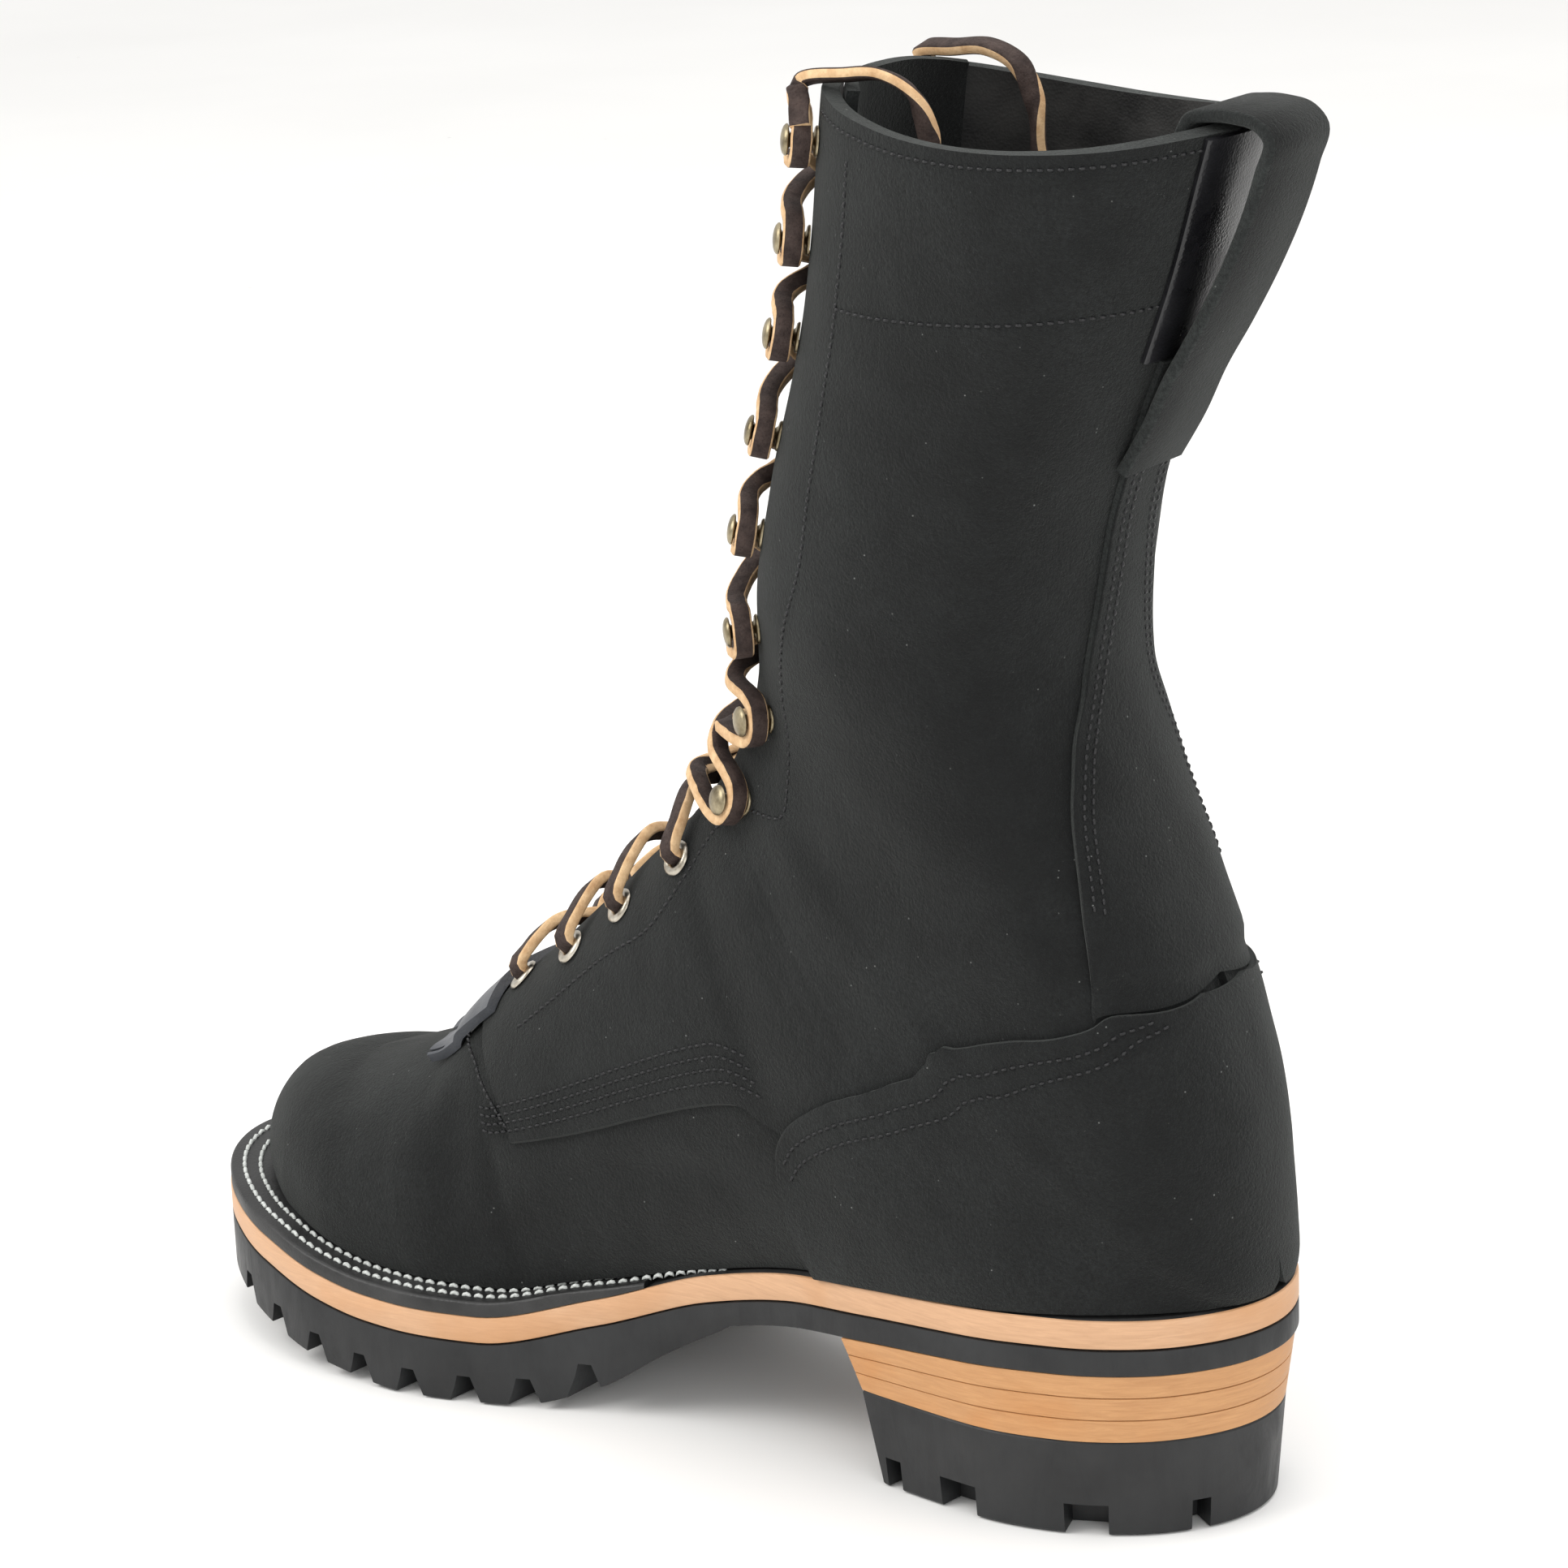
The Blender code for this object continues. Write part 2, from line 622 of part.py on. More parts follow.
def build_welt():
    near, far = rim(0.0, count=57)
    near_in, far_in = rim(WELT_LAP, count=57)
    first = 29
    loop_out = np.concatenate([near[first:], far[first:-1][::-1]])
    loop_in = np.concatenate([near_in[first:], far_in[first:-1][::-1]])
    count = len(loop_out)
    points = []
    for edge in (loop_out, loop_in):
        top = seat(edge[:, 1])
        low = midsole_top(edge[:, 1]) + CLEAR
        top = np.maximum(top, low + 0.4)
        points.append(np.column_stack([edge, top]))
        points.append(np.column_stack([edge, low]))
    points = np.concatenate(points)
    a, b, c, d = (k * count for k in range(4))
    faces = []
    for i in range(count - 1):
        j = i + 1
        faces += [(a + i, a + j, c + j, c + i), (b + i, d + i, d + j, b + j),
                  (a + i, b + i, b + j, a + j), (c + i, c + j, d + j, d + i)]
    for i in (0, count - 1):
        faces.append((a + i, c + i, d + i, b + i))
    put("welt", points, faces, "welt_leather")


def build_insole():
    def more(pick):
        return lambda share: pick(share) + WALL + 1.2 + 4.0 * np.clip(1.0 - share / 0.45, 0.0, 1.0)

    near, far = rim(more(feather_in), more(feather_out), count=45)
    put("insole", *plate(near, far, lambda a: seat(a) + 2 * CLEAR + INSOLE, lambda a: seat(a) + 2 * CLEAR), "lining")


# Upper

def upper_rows():
    rows = list(np.linspace(0.0, 1.0, 6))
    rows += [1.4, 1.8, 2.2, 2.6, 3.1, 3.6, 4.0, 4.1, 4.185, 4.215, 4.4, 4.7, 5.1, 5.5, 6.0]
    rows += [6.5, 7.0, 7.25, 7.5, 7.7, 7.85, 8.0, 8.35, 8.7, 9.0, 9.4, 9.9, 10.5, 11.1, 11.8]
    rows += [12.4, 12.9, 13.45, 14.0]
    return np.array(rows)


def quarter_line(row):
    return smooth(QUARTER["row"], QUARTER["down"], row)


def front_lean(row, down):
    """The quarter's front edge leans toward the toe as it nears the lacing."""
    near = np.clip(1.0 - np.abs(row - 4.2) / 0.9, 0.0, 1.0)
    near = near * near * (3 - 2 * near)
    return -0.42 * near * np.clip(1.0 - down / 0.6, 0.0, 1.0) ** 1.2


def over_seat(points):
    """Lift what would reach under the seat."""
    points[:, 2] = np.maximum(points[:, 2], seat(points[:, 1]) + CLEAR + 0.1)
    return points


def upper_grid():
    """Rows and places of the upper's facets on one side; the first column is the facing's edge."""
    rows = upper_rows()
    start = facing_edge(rows)
    line = quarter_line(rows)
    dense = 1.0 + 0.5 * np.clip(np.minimum((rows - 4.5) / 1.0, (8.4 - rows) / 0.4), 0.0, 1.0)
    step = 1.0 - np.linspace(1.0, 0.0, UPPER_COLUMNS)[None, :] ** dense[:, None]
    above = start[:, None] + (line - start)[:, None] * step
    gap = np.minimum(0.006, (1 - line) * 0.3)
    below = (line + gap)[:, None] + (1 - line - gap)[:, None] * np.linspace(0.0, 1.0, 3)[None, :]
    place = np.concatenate([above, below], axis=1)
    return rows, place


def build_upper():
    """One hollow shell; the quarter stands a step proud of the vamp."""
    rows, place = upper_grid()
    row = rows[:, None] + front_lean(rows[:, None], place)
    raised = np.zeros_like(place)
    raised[:, :UPPER_COLUMNS] = QUARTER_STEP * (rows[:, None] >= 4.2)
    count = place.shape[1]
    outer = []
    inner = []
    faces = []
    for side in (1.0, -1.0):
        outer.append(spot(row, side * place, raised).reshape(-1, 3))
        inner.append(spot(row, side * place, -WALL).reshape(-1, 3))
        part = grid_faces(len(rows), count, 0 if side > 0 else len(rows) * count)
        faces += part if side > 0 else [tuple(reversed(f)) for f in part]
    points, faces = shell(np.concatenate(outer), np.concatenate(inner), faces)
    put("upper", over_seat(points), faces, "suede")


def on_facets(rows, places, lift, side):
    """Points on the upper's flat facets, lifted: in between its rows and columns they run straight."""
    keys, grid = upper_grid()
    sheet = spot(keys[:, None] + front_lean(keys[:, None], grid), side * grid, lift)
    points = np.zeros(places.shape + (3,))
    for i, j in np.ndindex(places.shape):
        above = min(int(np.searchsorted(keys, rows[i, j], side="right")), len(keys) - 1)
        share = (rows[i, j] - keys[above - 1]) / (keys[above] - keys[above - 1])
        for axis in range(3):
            low = np.interp(places[i, j], grid[above - 1], sheet[above - 1, :, axis])
            high = np.interp(places[i, j], grid[above], sheet[above, :, axis])
            points[i, j, axis] = low * (1 - share) + high * share
    return points


def overlay(name, rows, edge, low, high, look, end=None):
    """Layer on both sides of the boot, from edge round to the back line or to end."""
    keys, grid = upper_grid()
    rows = np.asarray(rows, float)
    if rows.ndim == 1:
        rows = np.repeat(rows[:, None], UPPER_COLUMNS - 2, axis=1)
    lines = [edge]
    for k in range(4, UPPER_COLUMNS):
        lines.append(np.maximum(edge, np.interp(rows[:, k - 3], keys, grid[:, k])))
    lines.append(np.ones_like(edge) if end is None else end(rows[:, -1], lines[-1]))
    lines = np.stack(lines, axis=1)
    outer = [on_facets(rows, lines, high, side).reshape(-1, 3) for side in (1.0, -1.0)]
    inner = [on_facets(rows, lines, low, side).reshape(-1, 3) for side in (1.0, -1.0)]
    part = grid_faces(*lines.shape)
    other = grid_faces(*lines.shape, lines.size)
    faces = part + [tuple(reversed(f)) for f in other]
    points, faces = shell(np.concatenate(outer), np.concatenate(inner), faces)
    return put(name, over_seat(points), faces, look)


def build_counter():
    rows = np.array([5.76, 5.86, 6.0, 6.5, 7.0, 7.25, 7.5, 7.7, 7.85, 8.0, 8.35, 8.7, 9.0, 9.4, 9.5, 9.58])
    top = smooth(COUNTER["row"], COUNTER["down"], rows)
    low = QUARTER_STEP + 1.4 * STAND_OFF
    overlay("counter", rows, top, low, low + OVERLAY, "suede", lambda r, last: np.where(r < 8.0, last, 1.0))


def back_place(row, half):
    """Place round the section where the distance from the back line is half."""
    low = 0.5
    high = 1.0
    for _ in range(30):
        mid = (low + high) / 2
        if skin(row, mid, 1.0)[0] - skin(row, 1.0, 1.0)[0] > half:
            low = mid
        else:
            high = mid
    return (low + high) / 2


def back_row(height):
    low = 8.0
    high = LAST_ROW
    for _ in range(40):
        mid = (low + high) / 2
        if skin(mid, 1.0, 1.0)[2] < height:
            low = mid
        else:
            high = mid
    return (low + high) / 2


def build_backstay():
    """Strip up the back; its foot follows the counter's top edge."""
    toward = np.linspace(0.0, 1.0, UPPER_COLUMNS - 2)
    rows = [9.50 + 0.24 * toward ** 0.7]
    rows += [np.full_like(toward, row) for row in (9.9, 10.5, 11.1, 11.8, 12.4, 12.88)]
    rows = np.array(rows)
    edge = smooth(BACKSTAY["row"], BACKSTAY["down"], rows[:, 0])
    low = QUARTER_STEP + 1.4 * STAND_OFF
    overlay("backstay", rows, edge, low, low + OVERLAY, "suede")
    rows = np.array([12.9, 13.45, 13.99])
    edge = np.array([back_place(row, 14.0) for row in rows])
    overlay("back_strip", rows, edge, low, low + 1.4, "smooth_leather")


def ribbon(path, across, wide, thick):
    """Strap along path; across is one direction for all points or one for each."""
    path = np.asarray(path, float)
    across = np.broadcast_to(np.asarray(across, float), path.shape)
    run = np.gradient(path, axis=0)
    run /= np.linalg.norm(run, axis=1)[:, None]
    side = across - run * np.sum(across * run, axis=1)[:, None]
    side /= np.linalg.norm(side, axis=1)[:, None]
    up = np.cross(side, run)
    points = []
    for p, s, u in zip(path, side, up):
        for a, b in ((-1, -1), (1, -1), (1, 1), (-1, 1)):
            points.append(p + s * a * wide / 2 + u * b * thick / 2)
    faces = [(0, 1, 2, 3), tuple(4 * (len(path) - 1) + i for i in (3, 2, 1, 0))]
    for i in range(len(path) - 1):
        for k in range(4):
            a = 4 * i + k
            b = 4 * i + (k + 1) % 4
            faces.append((a, a + 4, b + 4, b))
    return points, faces


def build_loop():
    """Strap from the backstay, out and over the collar, and down inside it."""
    lift = QUARTER_STEP + 1.4 * STAND_OFF + OVERLAY + CLEAR + LOOP_THICK / 2
    path = []
    for height, out, rise in ((256.0, 0.0, 0.0), (267.0, 0.0, 0.0), (278.0, 0.2, 0.0), (290.0, 2.6, 0.0),
                              (303.0, 5.0, 0.0), (316.0, 6.8, 0.0), (326.0, 7.2, 0.0)):
        path.append(spot(back_row(height), 1.0, lift) + np.array([0.0, -out, rise]))
    collar = skin(LAST_ROW, 1.0, 1.0)
    inside = WALL + CLEAR + LOOP_THICK / 2 + 3.4
    for out, rise in ((13.4, -1.0), (10.6, 1.8), (5.0, 3.1), (-1.0, 3.2), (-6.5, 2.0)):
        path.append(collar + np.array([0.0, -out, rise]))
    for depth in (3.0, 10.0, 18.0):
        path.append(spot(back_row(collar[2] - depth), 1.0, -inside))
    put("pull_loop", *ribbon(path, (1.0, 0.0, 0.0), LOOP_WIDTH, LOOP_THICK), "suede")


def build_tongue():
    """Gusset under the throat; it takes the upper's own facets, so that it clears them."""
    rows, place = upper_grid()
    rows, place = rows[rows >= 3.5], place[rows >= 3.5]
    edge = place[:, 0]
    side = place[:, 1]
    lines = np.stack([-side, -edge, -edge / 2, 0 * edge, edge / 2, edge, side], axis=1)
    row = rows[:, None] + front_lean(rows[:, None], np.abs(lines))
    outer = spot(row, lines, -WALL - STAND_OFF)
    inner = spot(row, lines, -WALL - STAND_OFF - TONGUE)
    rise = np.array([0.0, -0.5, 1.5])
    outer = np.concatenate([outer, outer[-1:] + rise])
    inner = np.concatenate([inner, inner[-1:] + rise])
    faces = grid_faces(len(rows) + 1, lines.shape[1])
    points, faces = shell(outer.reshape(-1, 3), inner.reshape(-1, 3), faces)
    put("tongue", points, faces, "suede")


def build_kiltie():
    """Fringe over the throat's lower end."""
    rows = np.array([3.05, 3.35, 3.6, 3.7, 3.92, 4.14])
    lift = np.array([0.0, 0.0, 0.1, 1.4, QUARTER_STEP, QUARTER_STEP])[:, None] + STAND_OFF
    cols = np.linspace(-0.25, 0.25, 13)
    row = np.repeat(rows[:, None], len(cols), axis=1)
    place = np.repeat(cols[None, :], len(rows), axis=0)
    outer = spot(row, place, lift + KILTIE).reshape(-1, 3)
    inner = spot(row, place, lift).reshape(-1, 3)
    faces = []
    width = len(cols)
    for i in range(len(rows) - 1):
        for j in range(width - 1):
            if i < 2 and j in (2, 5, 8, 11):
                continue
            a = i * width + j
            faces.append((a, a + 1, a + width + 1, a + width))
    points, faces = shell(outer, inner, faces)
    put("kiltie", points, faces, "smooth_leather")


# Fastenings

def turned(profile, origin, axis, sides=14):
    """Solid of revolution; profile holds (radius, height) from the bottom to the top."""
    axis = axis / np.linalg.norm(axis)
    helper = np.array([0.0, 0.0, 1.0]) if abs(axis[2]) < 0.8 else np.array([0.0, 1.0, 0.0])
    one = np.cross(axis, helper)
    one /= np.linalg.norm(one)
    two = np.cross(axis, one)
    points = []
    for radius, height in profile:
        for k in range(sides):
            angle = 2 * math.pi * k / sides
            points.append(origin + axis * height + radius * (one * math.cos(angle) + two * math.sin(angle)))
    faces = []
    closed = profile[0][0] > 1e-6
    for i in range(len(profile) - 1):
        for k in range(sides):
            a = i * sides + k
            b = i * sides + (k + 1) % sides
            faces.append((a, b, b + sides, a + sides))
    return points, faces, closed, sides


def capped(profile, origin, axis, sides=14):
    points, faces, closed, sides = turned(profile, origin, axis, sides)
    faces.append(tuple(range(sides))[::-1])
    last = (len(profile) - 1) * sides
    faces.append(tuple(range(last, last + sides)))
    return points, faces


def ring(profile, origin, axis, sides=14):
    points, faces, closed, sides = turned(profile, origin, axis, sides)
    last = (len(profile) - 1) * sides
    for k in range(sides):
        a = last + k
        b = last + (k + 1) % sides
        faces.append((a, b, (k + 1) % sides, k))
    return points, faces


def fastener(height, side, back):
    """Origin on the facing's surface and the outward axis."""
    place = lambda row: float(facing_edge(row, THROAT / 2 + back))
    row = row_at(height, place)
    origin = spot(row, side * place(row), QUARTER_STEP)
    ahead = spot(row, side * place(row), QUARTER_STEP + 1.0)
    return origin, ahead - origin, row, place(row)


def build_fasteners():
    seats = {}
    for side, word in ((1.0, "in"), (-1.0, "out")):
        for k, height in enumerate(EYELET_HEIGHTS):
            origin, axis, row, place = fastener(height, side, EYELET_BACK)
            flange = [(EYELET_HOLE, 0.5), (EYELET_OUTER, 0.5), (EYELET_OUTER - 0.5, 1.3), (EYELET_HOLE, 1.4)]
            put("eyelet_%s_%d" % (word, k + 1), *ring(flange, origin, axis, 9), "brass")
            seats[(side, k)] = (origin, axis, False, row, place)
        for k, height in enumerate(HOOK_HEIGHTS):
            origin, axis, row, place = fastener(height, side, HOOK_BACK)
            low = 0.45
            neck = low + 1.0 + HOOK_NECK_HEIGHT
            profile = [(HOOK_FLANGE, low), (HOOK_FLANGE, low + 0.4), (HOOK_NECK, low + 0.5), (HOOK_NECK, neck),
                       (HOOK_CAP, neck + 0.2), (HOOK_CAP * 0.7, neck + 1.7)]
            put("hook_%s_%d" % (word, k + 1), *capped(profile, origin, axis, 8), "brass")
            seats[(side, k + len(EYELET_HEIGHTS))] = (origin, axis, True, row, place)
    return seats


def lace_point(seats, side, k):
    """Where the lace lies at a fastener, the outward axis and the way along the facing outward."""
    origin, axis, hook = seats[(side, k)][:3]
    outward = np.array([side, 0.0, 0.0])
    outward = outward - axis * np.dot(outward, axis)
    outward /= np.linalg.norm(outward)
    if hook:
        lift = 1.3 + CLEAR + LACE_WIDE / 2
        return origin + axis * lift + outward * (HOOK_NECK + CLEAR + LACE_THIN / 2), axis, outward
    return origin + axis * (2.4 + CLEAR + LACE_WIDE / 2) + outward * 0.5, axis, outward


def middle_point(height, lift):
    row = row_at(height, lambda r: 0.0)
    point = spot(row, 0.0, lift)
    front = spot(row, 0.0, lift + 1.0) - point
    return point, front


def beside(seats, side, k, way, up, reach):
    """Place on the throat's side of a fastener, clear of its neck, reach further along the facing."""
    origin, axis, hook, row, place = seats[(side, k)]
    low = row - 2.5 if way < 0 else row
    high = row if way < 0 else row + 2.5
    low = max(low, THROAT_ROW)
    high = min(high, LAST_ROW)
    for _ in range(30):
        mid = (low + high) / 2
        if np.dot(spot(mid, side * place * LACE_TURN, LACE_LIFT) - origin, up) < way * reach:
            low = mid
        else:
            high = mid
    return spot((low + high) / 2, side * place * LACE_TURN, LACE_LIFT)


def build_lace(seats):
    count = len(EYELET_HEIGHTS) + len(HOOK_HEIGHTS)
    solid = None
    for first in (1.0, -1.0):
        path = []
        wide = []
        side = first
        for k in range(count):
            point, axis, outward = lace_point(seats, side, k)
            up = -side * np.cross(axis, outward)
            up /= np.linalg.norm(up)
            hook = seats[(side, k)][2]
            spread = 2.8 if hook else 0.8
            if k > 0:
                path.append(beside(seats, side, k, -1.0, up, spread + 3.4))
                wide.append(axis)
            path += [point - up * spread, point + up * spread]
            wide += [axis, axis]
            if k < count - 1:
                path.append(beside(seats, side, k, 1.0, up, spread + 3.4))
                wide.append(axis)
                after = lace_point(seats, -side, k + 1)[0]
                lift = (8.8 if k == 0 else 6.7) + 0.8 * first
                middle, front = middle_point((point[2] + after[2]) / 2, lift)
                path.append(middle)
                wide.append(front)
            side = -side
        points, faces = ribbon(np.array(path), np.array(wide), LACE_WIDE, LACE_THIN)
        strand = put("lace" if solid is None else "lace_more", points, faces, "rawhide")
        solid = strand if solid is None else cut(solid, strand, "UNION")
    low_in, axis, out_in = lace_point(seats, 1.0, 0)
    low_out, other, out_out = lace_point(seats, -1.0, 0)
    middle, front = middle_point((low_in[2] + low_out[2]) / 2 + 4.0, 8.6)
    low_in = low_in + out_in * 0.9 + axis * 0.12
    low_out = low_out + out_out * 0.9 + other * 0.12
    row, place = seats[(1.0, 0)][3:]
    near = spot(row, place * 0.55, 8.0)
    far = spot(row, -place * 0.55, 8.0)
    path = [low_in, near, middle, far, low_out]
    points, faces = ribbon(path, np.array([axis, axis, front, other, other]), LACE_WIDE, LACE_THIN)
    cut(solid, put("lace_bar", points, faces, "rawhide"), "UNION")
    for side, word in ((1.0, "in"), (-1.0, "out")):
        point, axis, outward = lace_point(seats, side, count - 1)
        up = np.array([0.0, 0.0, 1.0])
        start = point + up * 4.0
        path = [start, start - outward * 2.5 + up * 4.0, start - outward * 6.0 + up * 8.0]
        for back, rise in ((8.0, 11.0), (17.0, 11.5), (25.0, 8.0), (29.0, 0.0), (30.0, -12.0)):
            path.append(start + np.array([-side * 8.0, -back, rise]))
        points, faces = ribbon(path, (-side * 0.3, 0.3, 1.0), LACE_THIN, LACE_WIDE)
        put("lace_end_%s" % word, points, faces, "rawhide")


def main():
    build_heel()
    build_outsole()
    build_midsole()
    build_welt()
    build_insole()
    build_upper()
    build_counter()
    build_backstay()
    build_loop()
    build_tongue()
    build_kiltie()
    seats = build_fasteners()
    build_lace(seats)


for item in list(bpy.data.objects):
    bpy.data.objects.remove(item)
PARTS = bpy.data.collections.new("logger_boot")
CUTTERS = bpy.data.collections.new("cutters")
bpy.context.scene.collection.children.link(PARTS)
bpy.context.scene.collection.children.link(CUTTERS)
main()
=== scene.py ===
"""Looks of the logger boot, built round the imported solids.

Sizes are in millimetres here and become metres in lay(). Along is measured from the back rim of the
sole forward, rows run from the toe over the instep and the heel up to the collar, and a place goes
from the front line (0) down the section to its lower end or the back line (1); below 0 is the outer
side.
"""
import math
import random

import bmesh
import bpy
import numpy as np
from mathutils import Matrix, Vector


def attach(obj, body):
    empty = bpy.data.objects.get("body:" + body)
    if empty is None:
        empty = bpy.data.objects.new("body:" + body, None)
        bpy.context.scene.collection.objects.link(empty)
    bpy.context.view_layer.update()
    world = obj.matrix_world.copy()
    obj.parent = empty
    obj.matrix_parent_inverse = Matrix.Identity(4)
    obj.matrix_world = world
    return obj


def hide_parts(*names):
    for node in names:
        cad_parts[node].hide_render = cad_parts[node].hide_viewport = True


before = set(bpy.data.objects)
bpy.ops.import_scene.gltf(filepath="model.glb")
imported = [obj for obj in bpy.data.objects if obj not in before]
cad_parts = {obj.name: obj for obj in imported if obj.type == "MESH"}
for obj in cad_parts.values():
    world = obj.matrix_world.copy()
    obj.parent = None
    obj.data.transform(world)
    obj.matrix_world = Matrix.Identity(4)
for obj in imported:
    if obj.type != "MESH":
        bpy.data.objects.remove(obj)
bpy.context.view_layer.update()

MM = 0.001
SOLE_LENGTH = 312.0
BALL_WIDTH = 112.0
SEAT_HEIGHT = 57.0
SHAFT_HEIGHT = 276.0
WALL = 2.4
OVERLAY = 2.0
QUARTER_STEP = 1.6
CLEAR = 0.3
LAYER = 0.25
MIDSOLE = 7.2
PLY = 6.8
WELT = 4.0
WELT_LAP = 13.0
CAP_HEIGHT = 25.0
LIFTS = 3
HEEL_LENGTH = 97.0
LUG_DEPTH = 7.0
LUG_PITCH = 15.4
LUG_GAP = 5.6
TONGUE = 3.0
TONGUE_DROP = 2.4
KILTIE = 3.0
THROAT = 29.0
LACE_WIDE = 4.8
LACE_THIN = 2.8
LACE_LIFT = 7.4
LACE_TURN = 0.58
LOOP_WIDTH = 25.0
LOOP_THICK = 3.0
HOOK_FLANGE = 3.6
HOOK_NECK = 1.7
HOOK_CAP = 3.7
HOOK_NECK_HEIGHT = 5.4
EYELET_OUTER = 4.6
EYELET_HOLE = 2.4
EYELET_BACK = 8.0
HOOK_BACK = 9.5
MIDDLE_X = -0.36
MIDDLE_Y = 3.70
TOP = SEAT_HEIGHT + SHAFT_HEIGHT
HALF = SOLE_LENGTH / 2.0
IMAGE = 1932
FOCAL = 5806.0
CAMERA_AT = (0.89036, 0.66330, 0.50460)
CAMERA_LOOKS = (0.00036, 0.01430, 0.16170)
CAMERA_ROLL = -2.17
FLOOR_HALF = 8.0
FLOOR_LEVEL = -0.0004
# Where a section's turn ends at the most, and how full the toe's first section is
SECTION_END = 0.971
TOE_POWER = 0.78
# Pull loop: (height, out) up the outside, (out, rise) over the collar, depths down the inside
LOOP_STAND = 1.26
LOOP_OUTSIDE = ((256.0, -4.2), (267.0, -1.2), (278.0, 0.2), (290.0, 2.6),
                (303.0, 5.0), (316.0, 6.8), (326.0, 7.2))
LOOP_OVER = ((13.4, -1.0), (10.6, 1.8), (5.0, 3.1), (-1.0, 3.2), (-6.5, 2.0))
LOOP_INSIDE = (3.0, 10.0, 18.0)
LOOP_CLEAR = 3.4
# Free ends of the lace: (back, up) from the top hook, over the collar and down inside
TAIL_ROUTE = ((8.0, 11.0), (17.0, 11.5), (25.0, 8.0), (29.0, 0.0), (30.0, -12.0))
STITCH_PITCH = 2.3
STITCH_LONG = 1.75
STITCH_THICK = 0.80
WELT_PITCH = 3.3
WELT_LONG = 2.7
WELT_THICK = 1.15
WELT_ROWS = (4.0, 8.2)
SLOTS_OF_MIX = (6, 7)


# Camera, floor and light

def build_camera():
    data = bpy.data.cameras.new("camera")
    data.sensor_width = 36.0
    data.lens = FOCAL / IMAGE * data.sensor_width
    data.clip_end = 20.0
    camera = bpy.data.objects.new("camera", data)
    bpy.context.scene.collection.objects.link(camera)
    way = Vector(CAMERA_LOOKS) - Vector(CAMERA_AT)
    turn = way.to_track_quat("-Z", "Y") @ Matrix.Rotation(math.radians(CAMERA_ROLL), 3, "Z").to_quaternion()
    camera.location = CAMERA_AT
    camera.rotation_mode = "QUATERNION"
    camera.rotation_quaternion = turn
    bpy.context.scene.camera = camera


def area_light(name, place, toward, size, power, tint):
    data = bpy.data.lights.new(name, "AREA")
    data.shape = "SQUARE"
    data.size = size
    data.energy = power
    data.color = tint
    light = bpy.data.objects.new(name, data)
    light.location = place
    light.rotation_euler = (Vector(toward) - Vector(place)).to_track_quat("-Z", "Y").to_euler()
    bpy.context.scene.collection.objects.link(light)


def build_studio():
    bpy.context.scene.view_settings.view_transform = "Standard"
    world = bpy.data.worlds.new("studio")
    bpy.context.scene.world = world
    world.use_nodes = True
    world.node_tree.nodes["Background"].inputs["Color"].default_value = (1.0, 0.995, 0.985, 1.0)
    world.node_tree.nodes["Background"].inputs["Strength"].default_value = 0.95
    mesh = bpy.data.meshes.new("floor")
    around = ((-1, -1), (1, -1), (1, 1), (-1, 1))
    corners = [(FLOOR_HALF * x, FLOOR_HALF * y, FLOOR_LEVEL) for x, y in around]
    mesh.from_pydata(corners, [], [(0, 1, 2, 3)])
    floor = bpy.data.objects.new("floor", mesh)
    bpy.context.scene.collection.objects.link(floor)
    floor.data.materials.append(paper())
    area_light("key", (1.05, -0.80, 1.30), (0.0, 0.0, 0.15), 1.0, 16.0, (1.0, 0.99, 0.97))
    area_light("top", (-0.3, 0.3, 1.7), (0.0, 0.0, 0.1), 1.4, 14.0, (1.0, 1.0, 1.0))
    area_light("side", (0.9, 1.2, 0.6), (0.0, 0.0, 0.1), 0.8, 4.0, (0.97, 0.99, 1.0))


# Shape of the boot, the same as the solids'

def table(names, *rows):
    return dict(zip(names.split(), np.array(rows, float).T))


OUTLINE = table("along half inset_in inset_out",
                (0.00, 0.000, 0.036, 0.036), (0.02, 0.165, 0.036, 0.036), (0.06, 0.272, 0.034, 0.036),
                (0.12, 0.342, 0.032, 0.036), (0.20, 0.376, 0.030, 0.036), (0.29, 0.372, 0.026, 0.036),
                (0.38, 0.348, 0.024, 0.040), (0.47, 0.341, 0.030, 0.048), (0.56, 0.386, 0.058, 0.064),
                (0.65, 0.464, 0.076, 0.076), (0.73, 0.500, 0.080, 0.080), (0.81, 0.482, 0.080, 0.080),
                (0.88, 0.420, 0.088, 0.088), (0.94, 0.312, 0.102, 0.102), (0.98, 0.185, 0.110, 0.110),
                (1.00, 0.000, 0.112, 0.112))
SWING = table("along shift",
              (0.00, -0.020), (0.15, 0.008), (0.30, -0.014), (0.45, -0.046),
              (0.60, -0.030), (0.75, 0.000), (0.90, 0.038), (1.00, 0.066))
PROFILE = table("along height",
                (0.00, 1.000), (0.13, 0.995), (0.27, 0.945), (0.36, 0.880), (0.46, 0.740),
                (0.56, 0.545), (0.66, 0.415), (0.76, 0.435), (0.88, 0.555), (1.00, 0.660))
UNDERSIDE = table("along height",
                  (0.44, 0.520), (0.50, 0.330), (0.56, 0.120), (0.62, 0.012), (0.66, 0.000),
                  (0.72, 0.000), (0.80, 0.045), (0.90, 0.160), (1.00, 0.290))
BACK = table("up back",
             (0.000, 0.024), (0.100, 0.018), (0.210, 0.038), (0.325, 0.077), (0.430, 0.116),
             (0.540, 0.138), (0.650, 0.128), (0.765, 0.098), (0.880, 0.058), (1.000, 0.024))
